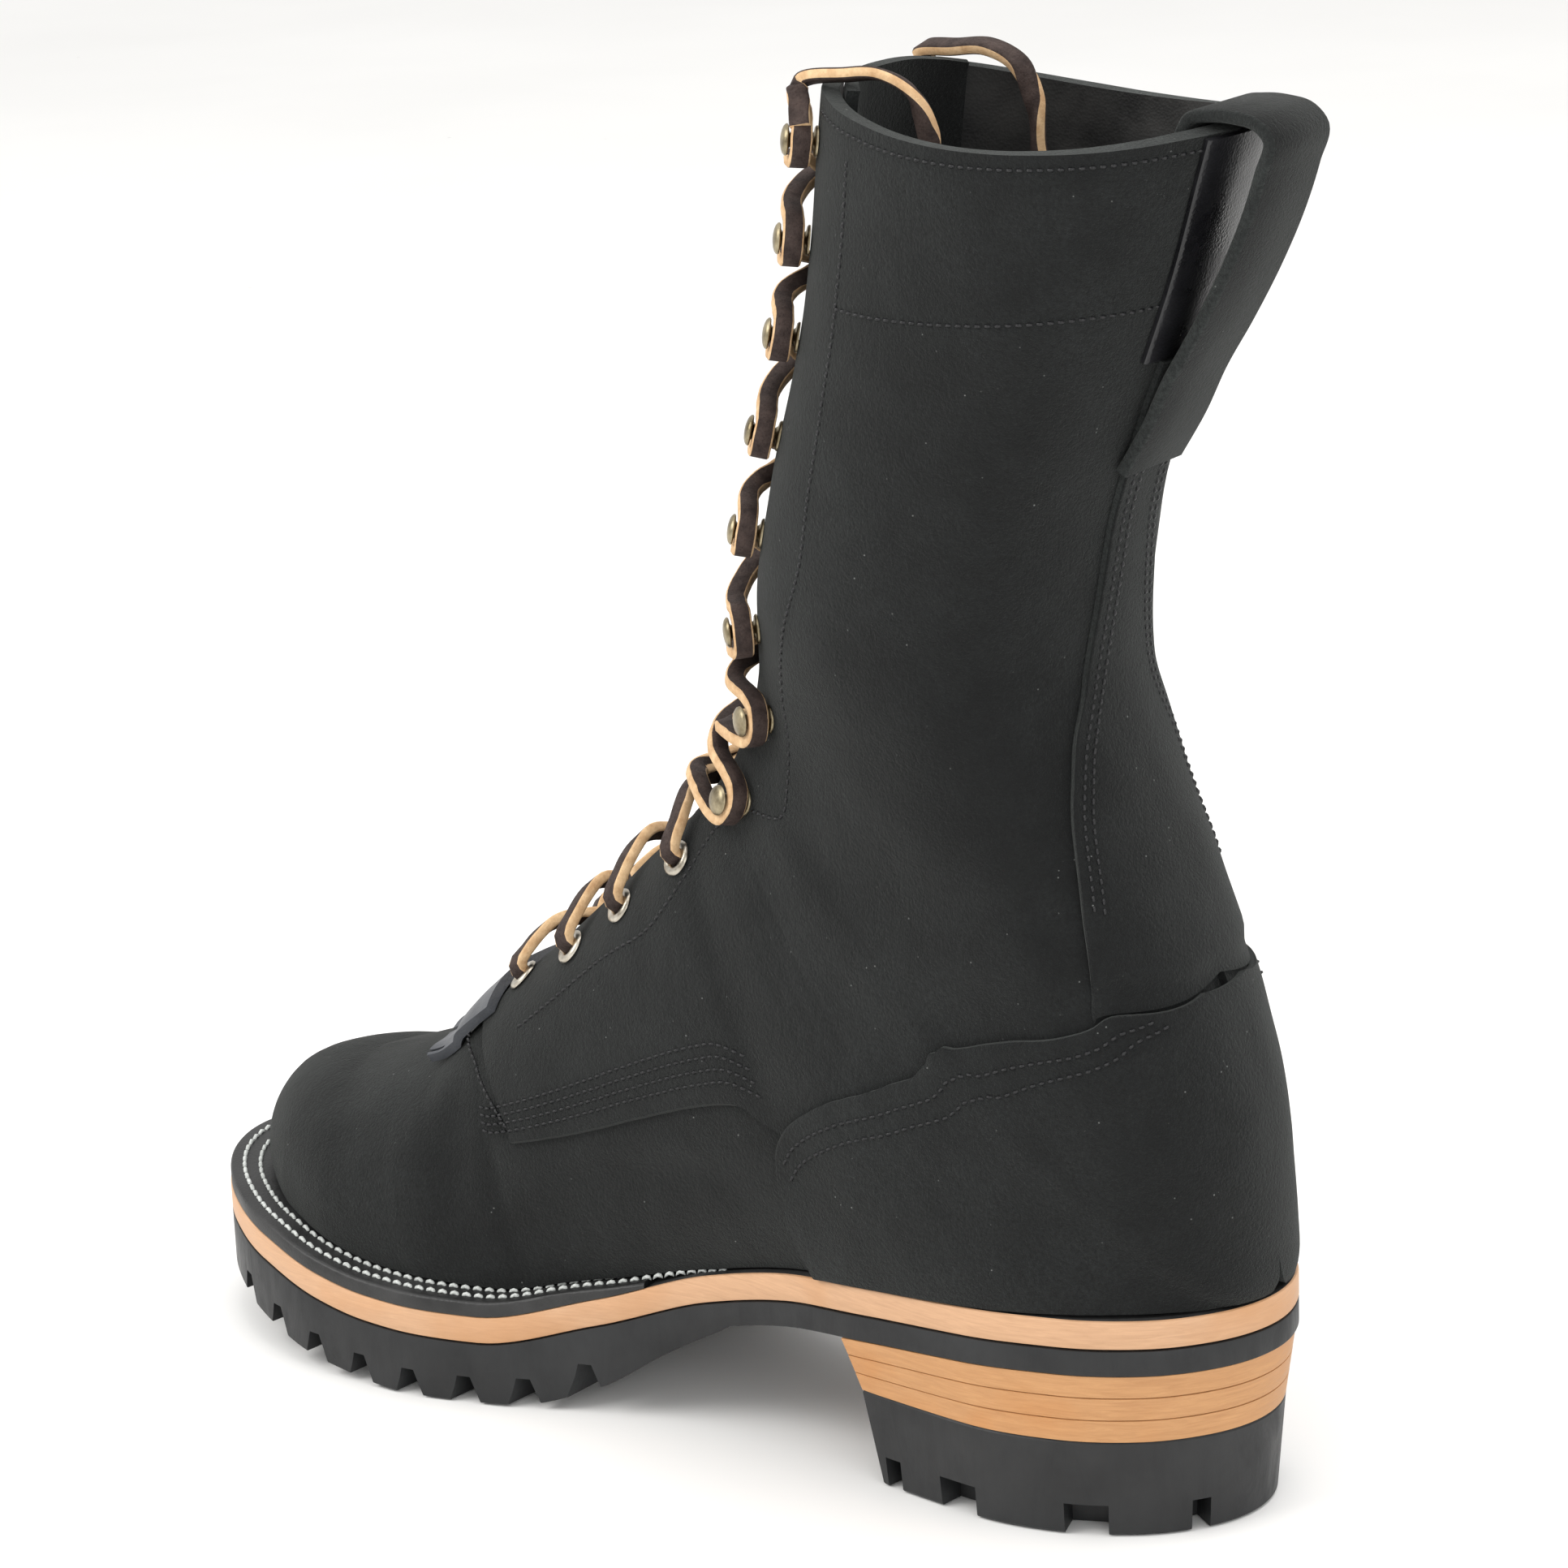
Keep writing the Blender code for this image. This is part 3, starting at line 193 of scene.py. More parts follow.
ROWS = table("foot up top_along top_up half_in half_out front back toe dip",
             (0.000, 0.000, 0.868, 0.210, 0.000, 0.000, 0.78, 0.78, 1.0, 0.0),
             (0.255, 0.000, 0.868, 0.210, 0.000, 0.000, 0.78, 0.78, 1.0, 0.0),
             (0.320, 0.000, 0.814, 0.226, 0.000, 0.000, 0.82, 0.82, 0.5, 0.0),
             (0.376, 0.000, 0.762, 0.242, 0.000, 0.000, 0.84, 0.85, 0.0, 0.0),
             (0.426, 0.000, 0.708, 0.288, 0.360, 0.380, 0.74, 0.85, 0.0, 0.0),
             (0.533, 0.000, 0.551, 0.420, 0.335, 0.355, 0.70, 0.90, 0.0, 0.0),
             (0.628, 0.000, 0.490, 0.480, 0.340, 0.355, 0.72, 0.90, 0.0, 0.0),
             (0.767, 0.000, 0.458, 0.522, 0.350, 0.355, 0.75, 0.90, 0.0, 0.0),
             (1.000, 0.000, 0.440, 0.558, 0.340, 0.345, 0.78, 0.88, 0.0, 0.0),
             (1.000, 0.160, 0.432, 0.590, 0.330, 0.335, 0.82, 0.86, 0.0, 0.0),
             (1.000, 0.340, 0.426, 0.625, 0.342, 0.345, 0.80, 0.88, 0.0, 0.0),
             (1.000, 0.520, 0.417, 0.668, 0.368, 0.368, 0.80, 0.88, 0.0, 0.0),
             (1.000, 0.670, 0.400, 0.734, 0.372, 0.372, 0.80, 0.88, 0.0, 0.0),
             (1.000, 0.830, 0.369, 0.852, 0.368, 0.368, 0.80, 0.88, 0.0, 2.0),
             (1.000, 1.000, 0.345, 1.020, 0.366, 0.366, 0.80, 0.88, 0.0, 6.0))
THROAT_ROW = 4.0
LAST_ROW = len(ROWS["foot"]) - 1.0
QUARTER = table("row down",
                (4.17, 0.629), (4.60, 0.657), (5.33, 0.686), (5.68, 0.707), (5.93, 0.764),
                (6.50, 0.860), (7.20, 0.960), (8.00, 0.985), (14.0, 0.985))
COUNTER = table("row down",
                (5.74, 0.900), (5.95, 0.786), (6.40, 0.736), (6.83, 0.712), (7.20, 0.658),
                (7.50, 0.585), (7.70, 0.544), (8.00, 0.523), (8.20, 0.534), (8.43, 0.557),
                (8.70, 0.600), (9.00, 0.671), (9.20, 0.722), (9.35, 0.760), (9.60, 0.960))
BACKSTAY = table("row down",
                 (9.30, 0.729), (10.0, 0.779), (10.7, 0.857), (11.03, 0.905), (11.75, 0.938),
                 (12.88, 0.950))
HOOK_HEIGHTS = (165.0, 187.0, 209.0, 232.0, 256.0, 280.0, 303.0, 326.0)
EYELET_HEIGHTS = (103.0, 116.0, 130.0, 146.0)


def smooth(xs, ys, x):
    """Monotone cubic through the rows of a table."""
    xs = np.asarray(xs, float)
    ys = np.asarray(ys, float)
    x = np.clip(np.asarray(x, float), xs[0], xs[-1])
    h = np.diff(xs)
    d = np.diff(ys) / h
    m = np.zeros(len(xs))
    m[0] = d[0]
    m[-1] = d[-1]
    same = d[:-1] * d[1:] > 0
    w1 = 2 * h[1:] + h[:-1]
    w2 = h[1:] + 2 * h[:-1]
    before = np.where(same, d[:-1], 1.0)
    after = np.where(same, d[1:], 1.0)
    m[1:-1] = np.where(same, (w1 + w2) / (w1 / before + w2 / after), 0.0)
    i = np.clip(np.searchsorted(xs, x, side="right") - 1, 0, len(xs) - 2)
    t = (x - xs[i]) / h[i]
    a = (1 + 2 * t) * (1 - t) ** 2 * ys[i] + t * (1 - t) ** 2 * h[i] * m[i]
    b = t * t * (3 - 2 * t) * ys[i + 1] + t * t * (t - 1) * h[i] * m[i + 1]
    return a + b


def half_width(along):
    turn = np.arccos(np.clip(1.0 - 2.0 * np.asarray(along, float) / SOLE_LENGTH, -1.0, 1.0))
    return BALL_WIDTH * smooth(np.arccos(1.0 - 2.0 * OUTLINE["along"]), OUTLINE["half"], turn)


def swing(along):
    return BALL_WIDTH * smooth(SWING["along"], SWING["shift"], along / SOLE_LENGTH)


def midsole_top(along):
    return SEAT_HEIGHT * smooth(PROFILE["along"], PROFILE["height"], along / SOLE_LENGTH)


def welt_height(along):
    return WELT * np.clip((along / SOLE_LENGTH - 0.46) / 0.14, 0.0, 1.0)


def seat(along):
    return midsole_top(along) + welt_height(along)


def underside(along):
    low = SEAT_HEIGHT * smooth(UNDERSIDE["along"], UNDERSIDE["height"], along / SOLE_LENGTH)
    high = midsole_top(along) - MIDSOLE - PLY
    return np.where(along < 0.44 * SOLE_LENGTH, high, np.minimum(low, high))


def rim(inset_in=0.0, inset_out=None, count=49):
    """Inner and outer edge of the sole, back to front, moved inward by the insets."""
    if inset_out is None:
        inset_out = inset_in
    turn = np.linspace(0.0, math.pi, count)
    along = HALF * (1.0 - np.cos(turn))
    inner = np.stack([swing(along) + half_width(along), along], -1)
    outer = np.stack([swing(along) - half_width(along), along], -1)
    loop = np.concatenate([inner, outer[-2:0:-1]])
    run = np.roll(loop, -1, axis=0) - np.roll(loop, 1, axis=0)
    run /= np.linalg.norm(run, axis=1)[:, None]
    normal = np.stack([run[:, 1], -run[:, 0]], -1)
    share = loop[:, 1] / SOLE_LENGTH
    one = inset_in(share) if callable(inset_in) else np.full(len(loop), float(inset_in))
    two = inset_out(share) if callable(inset_out) else np.full(len(loop), float(inset_out))
    amount = np.where(loop[:, 0] >= swing(loop[:, 1]), one, two)
    moved = loop - normal * amount[:, None]
    near = moved[:count]
    far = np.concatenate([moved[:1], moved[count:][::-1], moved[count - 1:count]])
    return near, far


def feather_in(share):
    return BALL_WIDTH * smooth(OUTLINE["along"], OUTLINE["inset_in"], share)


def feather_out(share):
    return BALL_WIDTH * smooth(OUTLINE["along"], OUTLINE["inset_out"], share)


FEATHER_IN, FEATHER_OUT = rim(feather_in, feather_out)


def feather(foot):
    place = (1.0 - np.clip(foot, 0.0, 1.0)) * (len(FEATHER_IN) - 1)
    step = np.arange(len(FEATHER_IN))
    near = np.stack([np.interp(place, step, FEATHER_IN[:, c]) for c in (0, 1)], -1)
    far = np.stack([np.interp(place, step, FEATHER_OUT[:, c]) for c in (0, 1)], -1)
    return near, far


def plain_skin(row, down, side):
    """Point of the upper: row along the keys, down 0 at the front line and 1 at the lower end."""
    row = np.asarray(row, float)
    down = np.asarray(down, float)
    side = np.asarray(side, float)
    keys = np.arange(len(ROWS["foot"]))
    r = {name: smooth(keys, ROWS[name], row) for name in ROWS}
    near, far = feather(r["foot"])
    inner = side >= 0
    end_x = np.where(inner, near[..., 0], far[..., 0])
    end_y = np.where(inner, near[..., 1], far[..., 1])
    back = SOLE_LENGTH * smooth(BACK["up"], BACK["back"], r["up"])
    foot_end = FEATHER_IN[0]
    past = np.clip(r["up"] * 12.0, 0.0, 1.0)
    end_y = np.where(r["up"] > 0, foot_end[1] * (1 - past) + back * past, end_y)
    end_x = np.where(r["up"] > 0, foot_end[0] * (1 - np.clip(r["up"], 0, 1)), end_x)
    end_z = np.where(r["up"] > 0, seat(foot_end[1]) + r["up"] * (TOP - SEAT_HEIGHT), seat(end_y))
    end_z = end_z + (CLEAR + 0.35) * (1 - r["up"])
    top_y = SOLE_LENGTH * r["top_along"]
    top_z = TOP * r["top_up"]
    top_x = swing(top_y) * np.clip((r["top_along"] - 0.5) / 0.2, 0.0, 1.0)
    low_x = top_x + (foot_end[0] * (1 - r["up"]) - top_x) * np.clip((r["foot"] - 0.7) / 0.3, 0.0, 1.0)
    low_x = low_x + (FEATHER_IN[-1][0] - top_x) * r["toe"]
    reach = np.where(inner, end_x - low_x, low_x - end_x)
    width = BALL_WIDTH * np.where(inner, r["half_in"], r["half_out"])
    width = np.maximum(width, 1.03 * reach)
    width = np.maximum(width, 1e-3)
    power = r["back"]
    over = np.clip(reach / width, 0.0, SECTION_END)
    end_turn = math.pi - np.arcsin(over ** (1.0 / power))
    end_turn = np.where(row <= 1e-9, math.pi - math.asin(SECTION_END ** (1 / TOE_POWER)), end_turn)
    width = np.where(row <= 1e-9, 0.0, width)
    turn = down * end_turn
    front_half = turn < math.pi / 2
    shape = np.clip(np.sin(turn), 0.0, 1.0) ** np.where(front_half, r["front"], r["back"])
    drop = (1 - np.cos(turn)) / (1 - np.cos(end_turn))
    shape_end = np.maximum(np.sin(end_turn), 1e-9) ** power
    flat = np.where(r["toe"] > 0, shape / np.maximum(shape_end, 0.5), 0.0)
    along_share = (1 - r["toe"]) * drop + r["toe"] * flat
    base_x = top_x + (low_x - top_x) * along_share
    x = base_x + np.where(inner, 1.0, -1.0) * width * shape
    y = top_y + (end_y - top_y) * along_share
    z = top_z + (end_z - top_z) * drop
    z = z - r["dip"] * np.sin(turn) ** 2
    return np.stack([x, y, z], -1)


def skin(row, down, side):
    """The last's surface, evened out between the rows where it turns round the ankle and the heel."""
    row = np.asarray(row, float)
    soft = 0.35 * np.clip(row - 5.6, 0.0, 1.0) * np.clip((9.6 - row) / 0.8, 0.0, 1.0)
    total = 3.0 * plain_skin(row, down, side)
    for step, share in ((0.5, 2.0), (1.0, 1.0)):
        total = total + share * plain_skin(row - soft * step, down, side)
        total = total + share * plain_skin(row + soft * step, down, side)
    return total / 9.0


def fold(place):
    """Signed place round a section: 0 front, below 0 the outer side, above 1 past the back."""
    place = np.asarray(place, float)
    side = np.where((place < 0) | (place > 1), -1.0, 1.0)
    down = np.where(place > 1, 2.0 - place, np.abs(place))
    return side, down


def skin_normal(row, place):
    """Point of the bare skin and its outward normal."""
    side, down = fold(place)
    point = skin(row, down, side)
    low = np.clip(row - 0.03, 0.0, LAST_ROW)
    high = np.clip(row + 0.03, 0.0, LAST_ROW)
    small = np.clip(down, 0.012, 0.988)
    on_middle = (down < 1e-6) | ((down > 1 - 1e-6) & (row >= 8.0))
    side = np.where(on_middle, 1.0, side)
    by_row = skin(high, small, side) - skin(low, small, side)
    by_down = skin(row, small + 0.01, side) - skin(row, small - 0.01, side)
    normal = np.cross(by_row, by_down) * side[..., None]
    normal[..., 0] = np.where(on_middle, 0.0, normal[..., 0])
    normal /= np.maximum(np.linalg.norm(normal, axis=-1), 1e-12)[..., None]
    return point, normal


def spot(row, place, lift=0.0):
    """Point of the upper moved out along its normal by lift."""
    row, place, lift = np.broadcast_arrays(np.asarray(row, float), np.asarray(place, float), lift)
    point, normal = skin_normal(row, place)
    return point + normal * lift[..., None]


# Creases and soft waves of the leather: (row, place) points, depth and width in millimetres
CREASES = [
    ([(3.80, 0.30), (3.72, 0.50), (3.54, 0.71), (3.38, 0.85)], -1.0, 6.0),
    ([(3.70, 0.25), (3.45, 0.40), (2.95, 0.57), (2.73, 0.72)], 0.9, 8.0),
    ([(4.25, 0.71), (4.53, 0.70), (4.81, 0.72), (5.31, 0.76)], 0.7, 4.0),
    ([(4.22, 0.78), (4.69, 0.76), (5.19, 0.80), (5.56, 0.86)], -1.0, 7.0),
    ([(1.11, 0.20), (1.45, 0.44), (1.83, 0.62)], -0.5, 8.0),
    ([(13.25, 0.51), (12.47, 0.56), (11.42, 0.59), (10.51, 0.52)], -0.8, 12.0),
    ([(13.47, 0.64), (12.66, 0.70), (11.79, 0.73), (10.95, 0.71)], 0.7, 12.0),
    ([(7.83, 0.29), (8.46, 0.38), (9.24, 0.50), (9.95, 0.64)], -0.8, 7.0),
    ([(6.71, 0.53), (7.80, 0.44), (9.02, 0.56), (9.70, 0.72)], 0.7, 9.0),
    ([(7.03, 0.61), (8.27, 0.51), (9.08, 0.64)], -0.6, 7.0),
    ([(6.65, 0.81), (6.99, 0.85), (7.43, 0.79)], -0.6, 9.0),
    ([(8.46, 0.66), (8.55, 0.76), (8.80, 0.89)], 0.5, 9.0),
]


def wave(point, size, seed):
    """Smooth mottling between -1 and 1 with swells about size millimetres across."""
    draw = random.Random(seed)
    total = np.zeros(point.shape[:-1])
    for _ in range(9):
        way = np.array([draw.gauss(0, 1), draw.gauss(0, 1), draw.gauss(0, 0.8)])
        way *= draw.uniform(0.7, 1.4) * 2 * math.pi / size / np.linalg.norm(way)
        total = total + np.sin(point @ way + draw.uniform(0, 2 * math.pi))
    return total / 4.5


LINES = {}


def crease(point, line, depth, width):
    """Soft trough or ridge along a line, fading toward both of its ends."""
    key = tuple(line)
    if key not in LINES:
        LINES[key] = spot(np.array([p[0] for p in line]), np.array([p[1] for p in line]))
    line = LINES[key]
    nearest = np.full(point.shape[:-1], 1e9)
    share = np.zeros(point.shape[:-1])
    steps = np.linalg.norm(np.diff(line, axis=0), axis=1)
    total = steps.sum()
    gone = 0.0
    for a, b, step in zip(line[:-1], line[1:], steps):
        t = np.clip(((point - a) @ (b - a)) / step ** 2, 0.0, 1.0)
        away = np.linalg.norm(point - a - t[..., None] * (b - a), axis=-1)
        closer = away < nearest
        nearest = np.where(closer, away, nearest)
        share = np.where(closer, (gone + t * step) / total, share)
        gone += step
    fade = np.clip(np.sin(math.pi * np.clip(share, 0.02, 0.98)), 0.0, 1.0) ** 0.6
    return depth * fade * np.exp(-(nearest / width) ** 2)


def relief(row, place):
    """How far the worked leather stands off the plain last, in millimetres."""
    row, place = np.broadcast_arrays(np.asarray(row, float), np.asarray(place, float))
    point, _ = skin_normal(row, place)
    lift = 0.28 * wave(point, 46.0, 3) + 0.12 * wave(point, 17.0, 5)
    for line, depth, width in CREASES:
        lift = lift + crease(point, line, depth, width)
        lift = lift + 0.7 * crease(point, [(r, -p) for r, p in line], depth, width)
    down = np.abs(place)
    off_end = np.clip((1.0 - down) / 0.05, 0.0, 1.0)
    off_front = np.clip(down / 0.06 + np.maximum(row - 1.0, 0.0), 0.0, 1.0)
    still = off_end * off_front
    return lift * np.where(row >= 8, 1.0, still) * np.clip(row / 0.2, 0.0, 1.0)


def on_boot(row, place, lift):
    """Point on the worked surface and the normal there."""
    row, place, lift = np.broadcast_arrays(np.asarray(row, float), np.asarray(place, float), lift)
    point, normal = skin_normal(row, place)
    return point + normal * (lift + relief(row, place))[..., None], normal


EDGES = {}


def facing_edge(row, half=THROAT / 2.0):
    """How far down the section the edge of the throat lies."""
    if half not in EDGES:
        rows = np.concatenate([np.linspace(THROAT_ROW, THROAT_ROW + 0.6, 31),
                               np.linspace(THROAT_ROW + 0.65, LAST_ROW, 160)])
        EDGES[half] = (rows, find_edge(rows, half))
    return np.interp(row, *EDGES[half])


def find_edge(row, half):
    gap = half * np.clip((row - THROAT_ROW) / 0.45, 0.0, 1.0) ** 0.5
    low = np.zeros_like(row)
    high = np.full_like(row, 0.5)
    for _ in range(30):
        mid = (low + high) / 2
        wide = skin(row, mid, np.ones_like(row))[..., 0] - skin(row, 0 * mid, np.ones_like(row))[..., 0]
        low = np.where(wide < gap, mid, low)
        high = np.where(wide < gap, high, mid)
    return np.where(row <= THROAT_ROW, 0.0, (low + high) / 2)


def row_at(height, place_of):
    rows = np.linspace(THROAT_ROW, LAST_ROW, 600)
    heights = spot(rows, place_of(rows))[:, 2]
    return float(np.interp(height, np.maximum.accumulate(heights), rows))


def quarter_line(row):
    return smooth(QUARTER["row"], QUARTER["down"], row)


def front_lean(row, down):
    near = np.clip(1.0 - np.abs(row - 4.2) / 0.9, 0.0, 1.0)
    near = near * near * (3 - 2 * near)
    return -0.42 * near * np.clip(1.0 - down / 0.6, 0.0, 1.0) ** 1.2


def over_seat(points):
    points[:, 2] = np.maximum(points[:, 2], seat(points[:, 1]) + CLEAR + 0.1)
    return points


# Mesh helpers

def lay(points):
    """Millimetre points (x, along, z) as metres in the boot's own frame."""
    points = np.asarray(points, float)
    return np.stack([points[..., 0] - MIDDLE_X, HALF - points[..., 1] - MIDDLE_Y, points[..., 2]], -1) * MM


def piece(name, points, faces, looks, slot, nodes=(), which=None, angle=38.0):
    """One shown piece that rides on the boot and stands for its CAD nodes."""
    mesh = bpy.data.meshes.new(name)
    mesh.from_pydata(lay(points).tolist(), [], [tuple(int(i) for i in f) for f in faces])
    for look in looks:
        mesh.materials.append(look)
    if which is not None:
        mesh.polygons.foreach_set("material_index", np.asarray(which, np.int32))
    work = bmesh.new()
    work.from_mesh(mesh)
    bmesh.ops.remove_doubles(work, verts=work.verts, dist=1e-6)
    bmesh.ops.dissolve_degenerate(work, edges=work.edges, dist=1e-7)
    bmesh.ops.recalc_face_normals(work, faces=work.faces)
    work.to_mesh(mesh)
    work.free()
    mesh.shade_smooth()
    mesh.set_sharp_from_angle(angle=math.radians(angle))
    made = bpy.data.objects.new(name, mesh)
    bpy.context.scene.collection.objects.link(made)
    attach(made, "root")
    if nodes:
        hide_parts(*nodes)
    return made


def grid_faces(rows, cols, start=0):
    faces = []
    for i in range(rows - 1):
        for j in range(cols - 1):
            a = start + i * cols + j
            faces.append((a, a + 1, a + cols + 1, a + cols))
    return faces


def shell(outer, inner, faces):
    """Close a sheet: outer and inner hold the same grid. Also says which faces are inside and edge."""
    outer = np.asarray(outer, float)
    inner = np.asarray(inner, float)
    keys = {}
    same = []
    for i, p in enumerate(outer):
        same.append(keys.setdefault(tuple(np.round(p, 3)), i))
    clean = []
    for face in faces:
        loop = []
        for i in face:
            if not loop or same[i] != loop[-1]:
                loop.append(same[i])
        if len(loop) > 1 and loop[0] == loop[-1]:
            loop.pop()
        if len(loop) > 2:
            clean.append(tuple(loop))
    count = len(outer)
    sides = {}
    for face in clean:
        for a, b in zip(face, face[1:] + face[:1]):
            sides[(a, b)] = sides.get((a, b), 0) + 1
    solid = list(clean)
    solid += [tuple(i + count for i in reversed(face)) for face in clean]
    which = [0] * len(clean) + [1] * len(clean)
    for (a, b) in sides:
        if (b, a) not in sides:
            solid.append((b, a, a + count, b + count))
            which.append(2)
    return np.concatenate([outer, inner]), solid, which


def slab(edge_of, top, low, bevel, count=161):
    """Layer of the sole with rounded rims; edge_of(inset) gives its two edges, back to front."""
    points = []
    for inset, height in ((bevel, lambda a: top(a)), (bevel * 0.3, lambda a: top(a) - bevel * 0.3),
                          (0.0, lambda a: top(a) - bevel), (0.0, lambda a: low(a) + bevel),
                          (bevel * 0.3, lambda a: low(a) + bevel * 0.3), (bevel, lambda a: low(a))):
        near, far = edge_of(inset, count)
        loop = np.concatenate([near, far[-2:0:-1]])
        points.append(np.column_stack([loop, height(loop[:, 1])]))
    size = len(points[0])
    faces = []
    which = []
    for k in range(5):
        for i in range(size):
            j = (i + 1) % size
            faces.append((k * size + i, k * size + j, (k + 1) * size + j, (k + 1) * size + i))
            which.append(0)
    for base, kind in ((0, 1), (5 * size, 2)):
        for i in range(count - 1):
            a = base + i
            b = base + i + 1
            c = base + (size - i - 1) % size
            d = base + (size - i) % size
            faces.append(tuple(dict.fromkeys((a, b, c, d))))
            which.append(kind)
    return np.concatenate(points), faces, which


def cut(target, cutter):
    modifier = target.modifiers.new("cut", "BOOLEAN")
    modifier.operation = "DIFFERENCE"
    modifier.solver = "EXACT"
    modifier.use_self = True
    modifier.object = cutter
    depsgraph = bpy.context.evaluated_depsgraph_get()
    mesh = bpy.data.meshes.new_from_object(target.evaluated_get(depsgraph))
    target.modifiers.clear()
    target.data = mesh
    bpy.data.objects.remove(cutter)
    mesh.shade_smooth()
    mesh.set_sharp_from_angle(angle=math.radians(30.0))


def cutter(points, faces):
    mesh = bpy.data.meshes.new("cutter")
    mesh.from_pydata(lay(points).tolist(), [], [tuple(f) for f in faces])
    work = bmesh.new()
    work.from_mesh(mesh)
    bmesh.ops.recalc_face_normals(work, faces=work.faces)
    work.to_mesh(mesh)
    work.free()
    made = bpy.data.objects.new("cutter", mesh)
    bpy.context.scene.collection.objects.link(made)
    return made


# Materials

class Look:
    """Node tree of one material, with short calls for the nodes that it needs."""

    def __init__(self, name, rough, metal=0.0, specular=0.5):
        self.mat = bpy.data.materials.new(name)
        self.mat.use_nodes = True
        self.tree = self.mat.node_tree
        self.shader = self.tree.nodes["Principled BSDF"]
        self.shader.inputs["Roughness"].default_value = rough
        self.shader.inputs["Metallic"].default_value = metal
        self.shader.inputs["Specular IOR Level"].default_value = specular
        self.place = self.tree.nodes.new("ShaderNodeTexCoord").outputs["Object"]

    def link(self, source, target):
        self.tree.links.new(source, target)

    def stretched(self, scale):
        node = self.tree.nodes.new("ShaderNodeMapping")
        node.inputs["Scale"].default_value = scale
        self.link(self.place, node.inputs["Vector"])
        return node.outputs["Vector"]

    def noise(self, scale, detail=3.0, rough=0.55, vector=None, warp=0.0):
        node = self.tree.nodes.new("ShaderNodeTexNoise")
        node.inputs["Scale"].default_value = scale
        node.inputs["Detail"].default_value = detail
        node.inputs["Roughness"].default_value = rough
        node.inputs["Distortion"].default_value = warp
        self.link(self.place if vector is None else vector, node.inputs["Vector"])
        return node.outputs["Fac"]

    def cells(self, scale, vector=None):
        node = self.tree.nodes.new("ShaderNodeTexVoronoi")
        node.inputs["Scale"].default_value = scale
        self.link(self.place if vector is None else vector, node.inputs["Vector"])
        return node.outputs["Distance"]

    def span(self, value, low, high, to_low=0.0, to_high=1.0):
        node = self.tree.nodes.new("ShaderNodeMapRange")
        for name, number in (("From Min", low), ("From Max", high), ("To Min", to_low), ("To Max", to_high)):
            node.inputs[name].default_value = number
        self.link(value, node.inputs["Value"])
        return node.outputs["Result"]

    def maths(self, kind, one, two):
        node = self.tree.nodes.new("ShaderNodeMath")
        node.operation = kind
        for value, socket in ((one, node.inputs[0]), (two, node.inputs[1])):
            if isinstance(value, (int, float)):
                socket.default_value = value
            else:
                self.link(value, socket)
        return node.outputs["Value"]

    def blend(self, share, one, two):
        node = self.tree.nodes.new("ShaderNodeMix")
        node.data_type = "RGBA"
        for value, slot in zip((one, two), SLOTS_OF_MIX):
            socket = node.inputs[slot]
            if isinstance(value, tuple):
                socket.default_value = (*value, 1.0)
            else:
                self.link(value, socket)
        self.link(share, node.inputs["Factor"])
        return node.outputs[2]

    def colour(self, source):
        self.link(source, self.shader.inputs["Base Color"])

    def rough(self, source):
        self.link(source, self.shader.inputs["Roughness"])

    def bump(self, heights):
        """heights holds (value, strength, distance in metres), coarse first."""
        normal = None
        for value, strength, distance in heights:
            node = self.tree.nodes.new("ShaderNodeBump")
            node.inputs["Strength"].default_value = strength
            node.inputs["Distance"].default_value = distance
            self.link(value, node.inputs["Height"])
            if normal is not None:
                self.link(normal, node.inputs["Normal"])
            normal = node.outputs["Normal"]
        self.link(normal, self.shader.inputs["Normal"])

    def axis(self, which):
        node = self.tree.nodes.new("ShaderNodeSeparateXYZ")
        self.link(self.place, node.inputs["Vector"])
        return node.outputs[which]


def suede(name, dark, light, lift=0.0, green=0.0):
    look = Look(name, 0.95, specular=0.25)
    look.shader.inputs["Sheen Weight"].default_value = 0.12
    look.shader.inputs["Sheen Roughness"].default_value = 0.45
    look.shader.inputs["Sheen Tint"].default_value = (0.86, 0.90, 0.86, 1.0)
    big = look.noise(13.0, 4.0, 0.6, warp=0.6)
    mid = look.noise(70.0, 4.0, 0.65, warp=0.4)
    nap = look.noise(1100.0, 4.0, 0.75)
    hair = look.noise(2600.0, 3.0, 0.7)
    patch = look.span(look.maths("ADD", look.maths("MULTIPLY", big, 0.65), look.maths("MULTIPLY", mid, 0.35)),
                      0.42 - lift, 0.66 - lift)
    fibre = look.span(nap, 0.33, 0.68)
    shade = look.maths("MULTIPLY", look.maths("ADD", look.maths("MULTIPLY", patch, 0.7), 0.3), fibre)
    base = look.blend(shade, dark, light)
    speck = look.span(look.cells(430.0), 0.11, 0.06)
    rare = look.span(look.noise(190.0, 2.0, 0.5), 0.60, 0.66)
    share = look.maths("MULTIPLY", look.maths("MULTIPLY", speck, rare), 0.55)
    base = look.blend(share, base, (0.30, 0.31, 0.30))
    look.colour(base)
    look.rough(look.span(nap, 0.3, 0.7, 0.80, 1.0))
    look.bump([(mid, 0.35, 0.0012), (nap, 0.8, 0.0007), (hair, 0.6, 0.0003)])
    return look.mat


def smooth_leather(name, dark, light, rough):
    look = Look(name, rough, specular=0.5)
    pores = look.cells(1500.0)
    cloud = look.noise(60.0, 4.0, 0.6)
    look.colour(look.blend(look.span(cloud, 0.35, 0.7), dark, light))
    look.rough(look.span(cloud, 0.3, 0.7, rough - 0.08, rough + 0.12))
    look.bump([(cloud, 0.2, 0.0006), (pores, 0.35, 0.00018)])
    return look.mat


